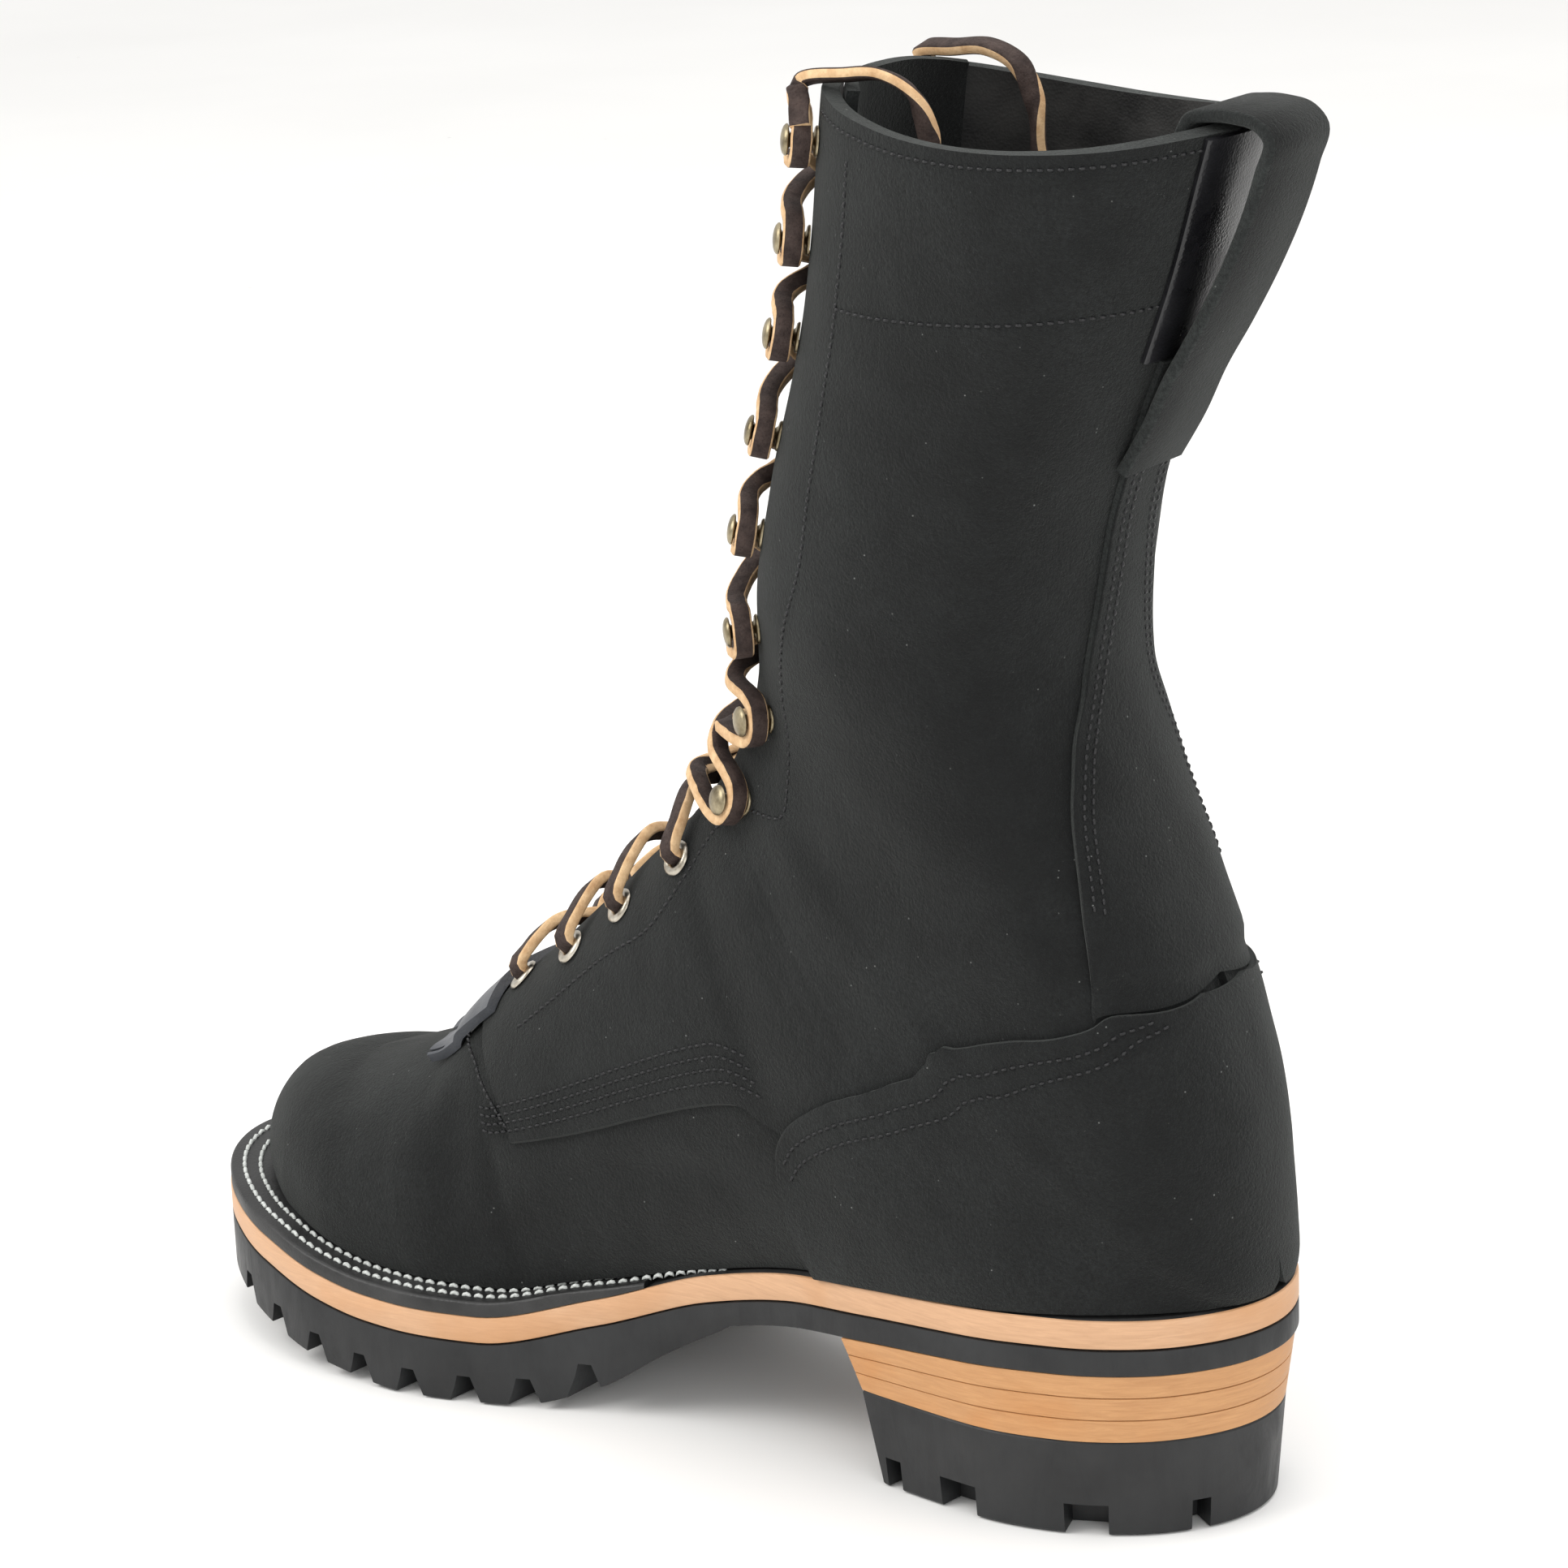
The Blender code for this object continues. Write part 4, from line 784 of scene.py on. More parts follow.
def edge_leather(name, pale, deep, stain):
    """Sanded and waxed leather seen from its cut side: long fine streaks level with the sole."""
    look = Look(name, 0.5, specular=0.45)
    grain = look.stretched((1.0, 1.0, 12.0))
    streak = look.noise(95.0, 6.0, 0.65, vector=grain, warp=0.8)
    fine = look.noise(420.0, 5.0, 0.7, vector=grain)
    cloud = look.noise(26.0, 3.0, 0.5)
    dots = look.noise(900.0, 2.0, 0.5)
    base = look.blend(look.span(streak, 0.22, 0.78), deep, pale)
    base = look.blend(look.span(cloud, 0.52, 0.72, 0.0, 0.75), base, stain)
    base = look.blend(look.span(fine, 0.58, 0.78, 0.0, 0.20), base, tuple(0.45 * c for c in deep))
    look.colour(base)
    look.rough(look.span(streak, 0.3, 0.7, 0.38, 0.62))
    look.bump([(streak, 0.12, 0.0004), (fine, 0.25, 0.0002), (dots, 0.2, 0.0001)])
    return look.mat


def rubber(name):
    look = Look(name, 0.5, specular=0.4)
    cloud = look.noise(34.0, 4.0, 0.6)
    fine = look.noise(1100.0, 3.0, 0.6)
    scuff = look.noise(120.0, 6.0, 0.75, vector=look.stretched((1.0, 1.0, 0.25)), warp=1.2)
    base = look.blend(look.span(cloud, 0.35, 0.7), (0.0085, 0.0090, 0.0098), (0.020, 0.021, 0.022))
    base = look.blend(look.span(scuff, 0.64, 0.80, 0.0, 0.5), base, (0.060, 0.060, 0.058))
    look.colour(base)
    look.rough(look.span(scuff, 0.3, 0.75, 0.36, 0.68))
    look.bump([(cloud, 0.15, 0.0005), (scuff, 0.15, 0.0003), (fine, 0.25, 0.00012)])
    return look.mat


def metal(name):
    look = Look(name, 0.34, metal=1.0)
    cloud = look.noise(240.0, 4.0, 0.6)
    fine = look.noise(2600.0, 3.0, 0.6)
    look.colour(look.blend(look.span(cloud, 0.35, 0.7), (0.150, 0.118, 0.068), (0.420, 0.360, 0.240)))
    look.rough(look.span(cloud, 0.3, 0.7, 0.26, 0.46))
    look.bump([(fine, 0.2, 0.00008)])
    return look.mat


def silver(name):
    look = Look(name, 0.32, metal=1.0)
    cloud = look.noise(300.0, 4.0, 0.6)
    look.colour(look.blend(look.span(cloud, 0.3, 0.7), (0.300, 0.265, 0.210), (0.620, 0.580, 0.500)))
    look.rough(look.span(cloud, 0.3, 0.7, 0.24, 0.42))
    look.bump([(cloud, 0.15, 0.0001)])
    return look.mat


def rawhide(name, dark, light, grit):
    look = Look(name, 0.8, specular=0.3)
    cloud = look.noise(260.0, 4.0, 0.65)
    fine = look.noise(1700.0, 4.0, 0.7)
    base = look.blend(look.span(cloud, 0.32, 0.68), dark, light)
    look.colour(look.blend(look.span(fine, 0.55, 0.75, 0.0, grit), base, tuple(0.35 * c for c in dark)))
    look.rough(look.span(fine, 0.3, 0.7, 0.62, 0.92))
    look.bump([(cloud, 0.4, 0.0004), (fine, 0.7, 0.0003)])
    return look.mat


def thread_look(name, dark, light, rough):
    look = Look(name, rough, specular=0.4)
    twist = look.noise(1500.0, 3.0, 0.6)
    look.colour(look.blend(look.span(twist, 0.35, 0.65), dark, light))
    look.bump([(twist, 0.5, 0.0002)])
    return look.mat


def paper():
    look = Look("floor_paper", 0.75, specular=0.2)
    cloud = look.noise(3.0, 3.0, 0.5)
    dust = look.cells(9.0)
    base = look.blend(look.span(cloud, 0.35, 0.65), (0.90, 0.895, 0.885), (0.93, 0.925, 0.915))
    look.colour(look.blend(look.span(dust, 0.014, 0.010, 0.0, 0.25), base, (0.45, 0.42, 0.38)))
    return look.mat


# Upper

def upper_grid():
    spans = [(0.0, 1.0, 26), (1.0, 3.0, 22), (3.0, 4.17, 24), (4.185, 4.215, 3), (4.24, 6.0, 40),
             (6.0, 8.0, 40), (8.0, 9.5, 26), (9.5, 13.9, 76)]
    parts = [np.linspace(a, b, n, endpoint=b in (4.17, 4.215)) for a, b, n in spans]
    rows = np.concatenate(parts + [[13.9, 13.96, 14.0]])
    start = facing_edge(rows)
    line = quarter_line(rows)
    step = np.linspace(0.0, 1.0, 44)
    step = np.where(step < 0.06, step ** 1.15, step)
    above = start[:, None] + (line - start)[:, None] * step[None, :]
    gap = np.minimum(0.006, (1 - line) * 0.3)
    below = (line + gap)[:, None] + (1 - line - gap)[:, None] * np.linspace(0.0, 1.0, 22)[None, :]
    return rows, np.concatenate([above, below], axis=1), len(step)


def two_sided(name, row, place, lifts, looks, slot, nodes):
    """Closed layer over both sides of the boot; lifts turns the relief into its outer and inner lift."""
    outer = []
    inner = []
    faces = []
    for side in (1.0, -1.0):
        point, normal = skin_normal(row, side * place)
        high, low = lifts(relief(row, side * place))
        outer.append((point + normal * high[..., None]).reshape(-1, 3))
        inner.append((point + normal * low[..., None]).reshape(-1, 3))
        part = grid_faces(*place.shape, 0 if side > 0 else place.size)
        faces += part if side > 0 else [tuple(reversed(f)) for f in part]
    points, faces, which = shell(np.concatenate(outer), np.concatenate(inner), faces)
    piece(name, over_seat(points), faces, looks, slot, nodes, which)


def build_upper(looks):
    rows, place, columns = upper_grid()
    row = rows[:, None] + front_lean(rows[:, None], place)
    raised = np.zeros_like(place)
    raised[:, :columns] = QUARTER_STEP * (rows[:, None] >= 4.2)
    two_sided("upper_roughout", row, place, lambda bump: (raised + bump, np.minimum(bump, 0.0) - WALL),
              looks, "suede", ["upper"])


def overlay(name, rows, lines, thick, looks, slot, nodes, rounded=0.55):
    """Layer laid on the quarter: rows and lines are grids, the first column is its free edge."""
    low = QUARTER_STEP + LAYER
    high = low + thick + 0.0 * lines
    high[:, 0] -= rounded
    high[:, 1] -= rounded * 0.25
    two_sided(name, rows, lines, lambda bump: (high + bump, low + bump), looks, slot, nodes)


def spread(edge, count):
    """Columns from edge to the back line, close together at the edge."""
    step = np.linspace(0.0, 1.0, count) ** 1.25
    return edge[:, None] + (1.0 - edge)[:, None] * step[None, :]


def build_counter(looks):
    spans = ((5.76, 6.2, 16), (6.24, 9.3, 76), (9.33, 9.58, 12))
    rows = np.concatenate([np.linspace(*span) for span in spans])
    columns = 40
    lines = spread(smooth(COUNTER["row"], COUNTER["down"], rows), columns)
    grid = np.repeat(rows[:, None], columns, axis=1)
    overlay("counter_roughout", grid, lines, OVERLAY, looks, "suede", ["counter"])


def build_backstay(looks):
    toward = np.linspace(0.0, 1.0, 22)
    first = 9.24 + 0.40 * toward ** 0.7
    share = np.linspace(0.0, 1.0, 110)[:, None]
    rows = first[None, :] * (1 - share) + 12.88 * share
    edge = smooth(BACKSTAY["row"], BACKSTAY["down"], rows[:, 0])
    lines = spread(edge, 22)
    thick = OVERLAY * np.clip(0.35 + (rows - 9.42 - 0.24 * toward ** 0.7) / 0.12, 0.35, 1.0)
    overlay("backstay_roughout", rows, lines, thick, looks, "suede", ["backstay"])


def back_place(row, half):
    places = np.linspace(1.0, 0.5, 400)
    across = skin(np.full_like(places, row), places, 1.0)[:, 0]
    return float(np.interp(half, np.maximum.accumulate(across - across[0]), places))


def back_row(height):
    rows = np.linspace(8.0, LAST_ROW, 600)
    heights = skin(rows, 1.0, 1.0)[:, 2]
    return float(np.interp(height, np.maximum.accumulate(heights), rows))


def build_back_strip(looks):
    rows = np.linspace(12.9, 13.99, 24)
    edge = np.array([back_place(row, 14.0) for row in rows])
    lines = spread(edge, 14)
    overlay("back_strip_grain", np.repeat(rows[:, None], 14, axis=1), lines, 1.4, looks, "smooth_leather",
            ["back_strip"], 0.3)


def build_tongue(looks):
    keys = [np.linspace(3.5, 4.3, 14, endpoint=False), np.linspace(4.3, 14.0, 120)]
    rows = np.concatenate(keys)
    edge = facing_edge(rows)
    line = quarter_line(rows)
    side = edge + (line - edge) * 0.125
    steps = (0.0, 0.2, 0.4, 0.6, 0.8, 1.0, 1.5, 2.0)
    places = [(-1, t) for t in reversed(steps[1:])] + [(1, t) for t in steps]
    lines = np.stack([s * (edge * t if t <= 1 else edge + (side - edge) * (t - 1))
                      for s, t in places], axis=1)
    row = rows[:, None] + front_lean(rows[:, None], np.abs(lines))
    drop = TONGUE_DROP * np.clip((rows - 4.0) / 0.5, 0.0, 1.0) * np.clip((13.0 - rows) / 3.0, 0.0, 1.0)
    lift = -WALL - 0.9 - drop[:, None] + 0.0 * lines
    outer = spot(row, lines, lift)
    inner = spot(row, lines, lift - TONGUE)
    rise = np.array([0.0, -0.5, 1.5])
    outer = np.concatenate([outer, outer[-1:] + rise])
    inner = np.concatenate([inner, inner[-1:] + rise])
    faces = grid_faces(len(rows) + 1, lines.shape[1])
    points, faces, which = shell(outer.reshape(-1, 3), inner.reshape(-1, 3), faces)
    piece("tongue_roughout", points, faces, looks, "suede", ["tongue"], which)


def build_kiltie(looks):
    rows = np.concatenate([np.linspace(3.05, 3.6, 16), np.linspace(3.63, 4.14, 12)])
    cols = np.linspace(-0.25, 0.25, 49)
    lift_rows = [3.05, 3.3, 3.6, 3.7, 3.92, 4.14]
    lifts = [0.9, 0.3, 0.1, 1.4, QUARTER_STEP, QUARTER_STEP]
    lift = np.interp(rows, lift_rows, lifts) + 0.6
    row = np.repeat(rows[:, None], len(cols), axis=1)
    place = np.repeat(cols[None, :], len(rows), axis=0)
    finger = 1.0 - 0.9 * np.cos(np.pi * ((place + 0.25) * 10.0)) ** 2 * np.clip((3.4 - row) / 0.35, 0.0, 1.0)
    curl = 0.7 * np.clip((3.45 - row) / 0.4, 0.0, 1.0) * np.sin(place * 34.0)
    outer = spot(row, place, lift[:, None] + KILTIE * 0.85 + curl).reshape(-1, 3)
    inner = spot(row, place, lift[:, None] + curl).reshape(-1, 3)
    faces = []
    width = len(cols)
    for i in range(len(rows) - 1):
        for j in range(width - 1):
            if rows[i] < 3.36 and j % 12 in (10, 11) and j < 47:
                continue
            a = i * width + j
            faces.append((a, a + 1, a + width + 1, a + width))
    points, faces, which = shell(outer, inner, faces)
    piece("kiltie_fringe", points, faces, looks, "smooth_leather", ["kiltie"], which)


# Straps

def through(keys, count):
    """Smooth line through the keys, one row for each point and column for each number."""
    keys = np.asarray(keys, float)
    steps = np.linalg.norm(np.diff(keys[:, :3], axis=0), axis=1)
    at = np.concatenate([[0.0], np.cumsum(np.maximum(steps, 1e-6))])
    way = np.gradient(keys, at, axis=0)
    fine = np.linspace(0.0, at[-1], count)
    i = np.clip(np.searchsorted(at, fine, side="right") - 1, 0, len(at) - 2)
    h = (at[i + 1] - at[i])[:, None]
    t = ((fine - at[i])[:, None]) / h
    return ((1 + 2 * t) * (1 - t) ** 2 * keys[i] + t * (1 - t) ** 2 * h * way[i]
            + t * t * (3 - 2 * t) * keys[i + 1] + t * t * (t - 1) * h * way[i + 1])


def strap(path, across, wide, thick, corner):
    """Rounded strap along path; wide and thick are numbers or one for each point.

    Also says which faces are its cut edges: all but the two wide ones.
    """
    run = np.gradient(path, axis=0)
    run /= np.linalg.norm(run, axis=1)[:, None]
    side = across - run * np.sum(across * run, axis=1)[:, None]
    side /= np.linalg.norm(side, axis=1)[:, None]
    up = np.cross(side, run)
    wide = np.broadcast_to(np.asarray(wide, float), len(path))
    thick = np.broadcast_to(np.asarray(thick, float), len(path))
    outline = []
    for a, b in ((-1, -1), (1, -1), (1, 1), (-1, 1)):
        ends = [(a, b, 0, 1), (a, b, 1, 0)]
        outline += ends if a == b else ends[::-1]
    points = np.zeros((len(path), 8, 3))
    for k, (a, b, pull_wide, pull_thick) in enumerate(outline):
        x = a * (wide / 2 - corner * pull_wide)
        z = b * (thick / 2 - corner * pull_thick)
        points[:, k] = path + side * x[:, None] + up * z[:, None]
    faces = []
    which = []
    for i in range(len(path) - 1):
        for k in range(8):
            a = 8 * i + k
            b = 8 * i + (k + 1) % 8
            faces.append((a, a + 8, b + 8, b))
            which.append(0 if k in (1, 5) else 1)
    faces += [tuple(range(8)), tuple(8 * (len(path) - 1) + k for k in reversed(range(8)))]
    which += [1, 1]
    return points.reshape(-1, 3), faces, which


def build_loop(looks):
    lift = QUARTER_STEP + LOOP_STAND + OVERLAY + CLEAR + LOOP_THICK / 2
    path = []
    for height, out in LOOP_OUTSIDE:
        path.append(spot(back_row(height), 1.0, lift) + np.array([0.0, -out, 0.0]))
    collar = skin(LAST_ROW, 1.0, 1.0)
    inside = WALL + CLEAR + LOOP_THICK / 2 + LOOP_CLEAR
    for out, rise in LOOP_OVER:
        path.append(collar + np.array([0.0, -out, rise]))
    for depth in LOOP_INSIDE:
        path.append(spot(back_row(collar[2] - depth), 1.0, -inside))
    line = through(np.array(path), 120)
    across = np.repeat([[1.0, 0.0, 0.0]], len(line), axis=0)
    points, faces, which = strap(line, across, LOOP_WIDTH, LOOP_THICK, 0.5)
    piece("pull_loop_roughout", points, faces, looks, "suede", ["pull_loop"], which, 60.0)


# Fastenings

def turned(profile, origin, axis, sides, closed):
    axis = axis / np.linalg.norm(axis)
    helper = np.array([0.0, 0.0, 1.0]) if abs(axis[2]) < 0.8 else np.array([0.0, 1.0, 0.0])
    one = np.cross(axis, helper)
    one /= np.linalg.norm(one)
    two = np.cross(axis, one)
    points = []
    for radius, height in profile:
        for k in range(sides):
            angle = 2 * math.pi * k / sides
            points.append(origin + axis * height + radius * (one * math.cos(angle) + two * math.sin(angle)))
    faces = []
    last = len(profile) - 1
    for i in range(last + (0 if closed else 1)):
        for k in range(sides):
            a = i * sides + k
            b = i * sides + (k + 1) % sides
            j = (i + 1) % len(profile)
            faces.append((a, b, j * sides + (k + 1) % sides, j * sides + k))
    if closed:
        faces.append(tuple(range(sides))[::-1])
        faces.append(tuple(range(last * sides, (last + 1) * sides)))
    return points, faces


def fastener(height, side, back):
    place = lambda row: facing_edge(row, THROAT / 2 + back)
    row = row_at(height, place)
    origin = spot(row, side * place(row), QUARTER_STEP)
    ahead = spot(row, side * place(row), QUARTER_STEP + 1.0)
    return origin, ahead - origin, row, place(row)


def build_fasteners(brass, ring_look):
    seats = {}
    eyelets = ([], [])
    hooks = ([], [])
    for side in (1.0, -1.0):
        for k, height in enumerate(EYELET_HEIGHTS):
            origin, axis, row, place = fastener(height, side, EYELET_BACK)
            profile = [(EYELET_HOLE, -3.5), (EYELET_HOLE + 0.4, -3.5), (EYELET_HOLE + 0.4, 0.15),
                       (EYELET_OUTER - 0.3, 0.15), (EYELET_OUTER, 0.45), (EYELET_OUTER - 0.15, 0.95),
                       (EYELET_OUTER - 0.7, 1.3),
                       (EYELET_HOLE + 0.8, 1.35), (EYELET_HOLE + 0.2, 1.0), (EYELET_HOLE, 0.4)]
            add(eyelets, *turned(profile, origin, axis, 28, False))
            seats[(side, k)] = (origin, axis, False, row, place)
        for k, height in enumerate(HOOK_HEIGHTS):
            origin, axis, row, place = fastener(height, side, HOOK_BACK)
            neck = 1.45 + HOOK_NECK_HEIGHT
            cap = HOOK_CAP
            profile = [(HOOK_FLANGE, 0.1), (HOOK_FLANGE, 0.5), (HOOK_FLANGE - 0.4, 0.85),
                       (HOOK_NECK + 0.5, 1.0), (HOOK_NECK, 1.6), (HOOK_NECK, neck - 0.5),
                       (HOOK_NECK + 0.5, neck - 0.1), (cap - 0.35, neck), (cap, neck + 0.3),
                       (cap - 0.12, neck + 0.7), (cap * 0.82, neck + 1.15), (cap * 0.6, neck + 1.45),
                       (cap * 0.3, neck + 1.65), (cap * 0.08, neck + 1.7)]
            add(hooks, *turned(profile, origin, axis, 24, True))
            seats[(side, k + len(EYELET_HEIGHTS))] = (origin, axis, True, row, place)
    words = [(w, k + 1) for w in ("in", "out") for k in range(8)]
    names = ["eyelet_%s_%d" % w for w in words if w[1] <= 4]
    piece("eyelets_round", *eyelets, [ring_look], "brass", names, None, 50.0)
    piece("hooks_domed", *hooks, [brass], "brass", ["hook_%s_%d" % w for w in words], None, 50.0)
    return seats


def add(store, points, faces):
    base = len(store[0])
    store[1].extend(tuple(i + base for i in f) for f in faces)
    store[0].extend(points)


# Lace

def lace_point(seats, side, k):
    origin, axis, hook = seats[(side, k)][:3]
    outward = np.array([side, 0.0, 0.0])
    outward = outward - axis * np.dot(outward, axis)
    outward /= np.linalg.norm(outward)
    up = -side * np.cross(axis, outward)
    up /= np.linalg.norm(up)
    if hook:
        lift = 1.3 + CLEAR + LACE_WIDE / 2
        return origin + axis * lift + outward * (HOOK_NECK + CLEAR + LACE_THIN / 2), axis, outward, up
    return origin, axis, outward, up


def beside(seats, side, k, way, up, reach):
    origin, _, _, row, place = seats[(side, k)]
    low = row - 2.5 if way < 0 else row
    high = row if way < 0 else row + 2.5
    low = max(low, THROAT_ROW)
    high = min(high, LAST_ROW)
    rows = np.linspace(low, high, 80)
    along = (spot(rows, side * place * LACE_TURN, LACE_LIFT) - origin) @ up
    found = float(np.interp(way * reach, np.maximum.accumulate(along), rows))
    return spot(found, side * place * LACE_TURN, LACE_LIFT)


def middle(height, lift):
    row = row_at(height, lambda r: 0.0 * r)
    point = spot(row, 0.0, lift)
    front = spot(row, 0.0, lift + 1.0) - point
    ahead = spot(row + 0.05, 0.0, lift) - point
    return point, front, ahead / np.linalg.norm(ahead)


def strand_keys(seats, first):
    """Key points of one strand: place, direction of its width, width and thickness."""
    count = len(EYELET_HEIGHTS) + len(HOOK_HEIGHTS)
    keys = []
    side = first
    tight = (LACE_WIDE * 0.86, LACE_THIN * 0.86)
    full = (LACE_WIDE, LACE_THIN)
    for k in range(count):
        point, axis, outward, up = lace_point(seats, side, k)
        hook = seats[(side, k)][2]
        row, place = seats[(side, k)][3:]
        if hook:
            reach = 2.8
            keys.append((beside(seats, side, k, -1.0, up, reach + 3.4), axis, full))
            keys.append((point - up * reach - outward * 0.7, axis, full))
            keys.append((point, axis, full))
            keys.append((point + up * reach - outward * 0.7, axis, full))
            keys.append((beside(seats, side, k, 1.0, up, reach + 3.4), axis, full))
        else:
            under = origin_under(seats, side, k)
            if k > 0:
                keys.append((spot(row - 0.06, side * place * 0.62, -WALL - 1.7), up, tight))
                keys.append((under - outward * 2.0, up, tight))
            else:
                keys.append((under - up * 2.5, outward, tight))
            keys.append((point - axis * 1.8 - outward * 0.2, up, tight))
            keys.append((point + axis * 2.6 - outward * 0.2 + up * 0.6, up, full))
            rise = row_reach(seats, side, k, up, 6.5)
            keys.append((spot(rise, side * place * 0.80, 6.2), up * 0.6 + outward * 0.5, full))
            rise = row_reach(seats, side, k, up, 10.5)
            keys.append((spot(rise, side * place * 0.45, 6.4), up, full))
        if k < count - 1:
            after = lace_point(seats, -side, k + 1)[0]
            into_hook = seats[(-side, k + 1)][2]
            height = (point[2] + after[2]) / 2
            if into_hook and hook:
                lift = 8.4 if first > 0 else 4.4
                where, front, ahead = middle(height, lift)
                keys.append((where, front if first > 0 else front * 0.35 + ahead, full))
            elif into_hook:
                where, front, ahead = middle(height + 4.0, 7.2 if first > 0 else 4.2)
                keys.append((where, front * 0.5 + ahead, full))
            else:
                where, front, ahead = middle(height + 3.0, 3.2 if first > 0 else 0.2)
                keys.append((where, ahead, full))
        side = -side
    return keys


def origin_under(seats, side, k):
    origin, axis = seats[(side, k)][:2]
    return origin - axis * (QUARTER_STEP + WALL + 1.7)


def row_reach(seats, side, k, up, reach):
    origin, _, _, row, place = seats[(side, k)]
    rows = np.linspace(row, min(row + 2.5, LAST_ROW), 80)
    along = (spot(rows, side * place * 0.8) - origin) @ up
    return float(np.interp(reach, np.maximum.accumulate(along), rows))


def lace_strap(keys, per_key):
    """The ribbon through the keys, with its width turning the short way from one to the next."""
    rows = []
    last = None
    for point, across, (wide, thick) in keys:
        across = across / np.linalg.norm(across)
        if last is not None and np.dot(last, across) < 0:
            across = -across
        last = across
        rows.append([*point, *across, wide, thick])
    line = through(np.array(rows), per_key * len(rows))
    jitter = wave(line[:, :3], 5.0, 11)
    wide = line[:, 6] * (1 + 0.05 * jitter)
    thick = line[:, 7] * (1 - 0.06 * jitter)
    return strap(line[:, :3], line[:, 3:6], wide, thick, 0.42)


def build_lace(seats, looks):
    store = ([], [])
    which = []
    for first in (1.0, -1.0):
        points, faces, kinds = lace_strap(strand_keys(seats, first), 7)
        add(store, list(points), faces)
        which += kinds
    # the bar between the two lowest eyelets runs under the facings
    low_in = origin_under(seats, 1.0, 0)
    low_out = origin_under(seats, -1.0, 0)
    row = seats[(1.0, 0)][3]
    up = np.array([0.0, -0.7, 0.7])
    keys = [(place, up, (4.0, 2.4)) for place in (low_in, spot(row, 0.0, -WALL - 1.7), low_out)]
    points, faces, kinds = lace_strap(keys, 10)
    add(store, list(points), faces)
    which += kinds
    piece("lace_rawhide", *store, looks, "rawhide", ["lace"], which, 50.0)
    count = len(EYELET_HEIGHTS) + len(HOOK_HEIGHTS)
    for side, word in ((1.0, "in"), (-1.0, "out")):
        point = lace_point(seats, side, count - 1)[0]
        outward = lace_point(seats, side, count - 1)[2]
        start = point + np.array([0.0, 0.0, 4.0])
        rise = np.array([0.0, 0.0, 1.0])
        path = [start, start - outward * 2.5 + rise * 4.0, start - outward * 6.0 + rise * 8.0]
        for back, up in TAIL_ROUTE:
            path.append(start + np.array([-side * 8.0, -back, up]))
        line = through(np.array(path), 60)
        across = np.repeat([[-side * 0.3, 0.3, 1.0]], len(line), axis=0)
        points, faces, kinds = strap(line, across, LACE_THIN, LACE_WIDE, 0.42)
        kinds = [1 - k for k in kinds[:-2]] + [1, 1]
        tail = piece("lace_tail_" + word, points, faces, looks, "rawhide", ["lace_end_" + word], kinds, 50.0)


# Stitches

def stitch_row(store, points, normals, pitch, long, thick, sink=0.0):
    """Short arched stitches along a line on the leather."""
    steps = np.linalg.norm(np.diff(points, axis=0), axis=1)
    at = np.concatenate([[0.0], np.cumsum(steps)])
    number = max(int(at[-1] / pitch), 1)
    places = (np.arange(number) + 0.5) * at[-1] / number
    centre = np.stack([np.interp(places, at, points[:, c]) for c in range(3)], -1)
    ahead = np.stack([np.interp(np.minimum(places + 0.3, at[-1]), at, points[:, c]) for c in range(3)], -1)
    behind = np.stack([np.interp(np.maximum(places - 0.3, 0), at, points[:, c]) for c in range(3)], -1)
    normal = np.stack([np.interp(places, at, normals[:, c]) for c in range(3)], -1)
    normal /= np.linalg.norm(normal, axis=1)[:, None]
    run = ahead - behind
    run /= np.linalg.norm(run, axis=1)[:, None]
    cross = np.cross(run, normal)
    rings = ((-0.5, 0.45, -0.35), (-0.36, 0.95, 0.15), (0.0, 1.0, 0.45),
             (0.36, 0.95, 0.15), (0.5, 0.45, -0.35))
    for c, r, n, x in zip(centre, run, normal, cross):
        dots = []
        for where, size, rise in rings:
            for k in range(6):
                angle = math.pi * k / 3
                dots.append(c + r * where * long + n * (thick * (rise - sink + 0.5 * size * math.sin(angle)))
                            + x * thick * 0.5 * size * math.cos(angle))
        faces = [tuple(range(6))[::-1], tuple(range(24, 30))]
        for i in range(4):
            for k in range(6):
                a = 6 * i + k
                b = 6 * i + (k + 1) % 6
                faces.append((a, b, b + 6, a + 6))
        add(store, dots, faces)


def seam(store, keys, lift):
    """Stitches along (row, place) keys, on both sides of the boot."""
    keys = np.array(keys, float)
    t = np.linspace(0.0, 1.0, len(keys))
    fine = np.linspace(0.0, 1.0, 200)
    rows = smooth(t, keys[:, 0], fine)
    places = smooth(t, keys[:, 1], fine)
    for side in (1.0, -1.0):
        point, normal = on_boot(rows, side * places, lift)
        stitch_row(store, point, normal, STITCH_PITCH, STITCH_LONG, STITCH_THICK, 0.25)


def shifted(keys, row=0.0, down=0.0):
    return [(r + row, d + down) for r, d in keys]


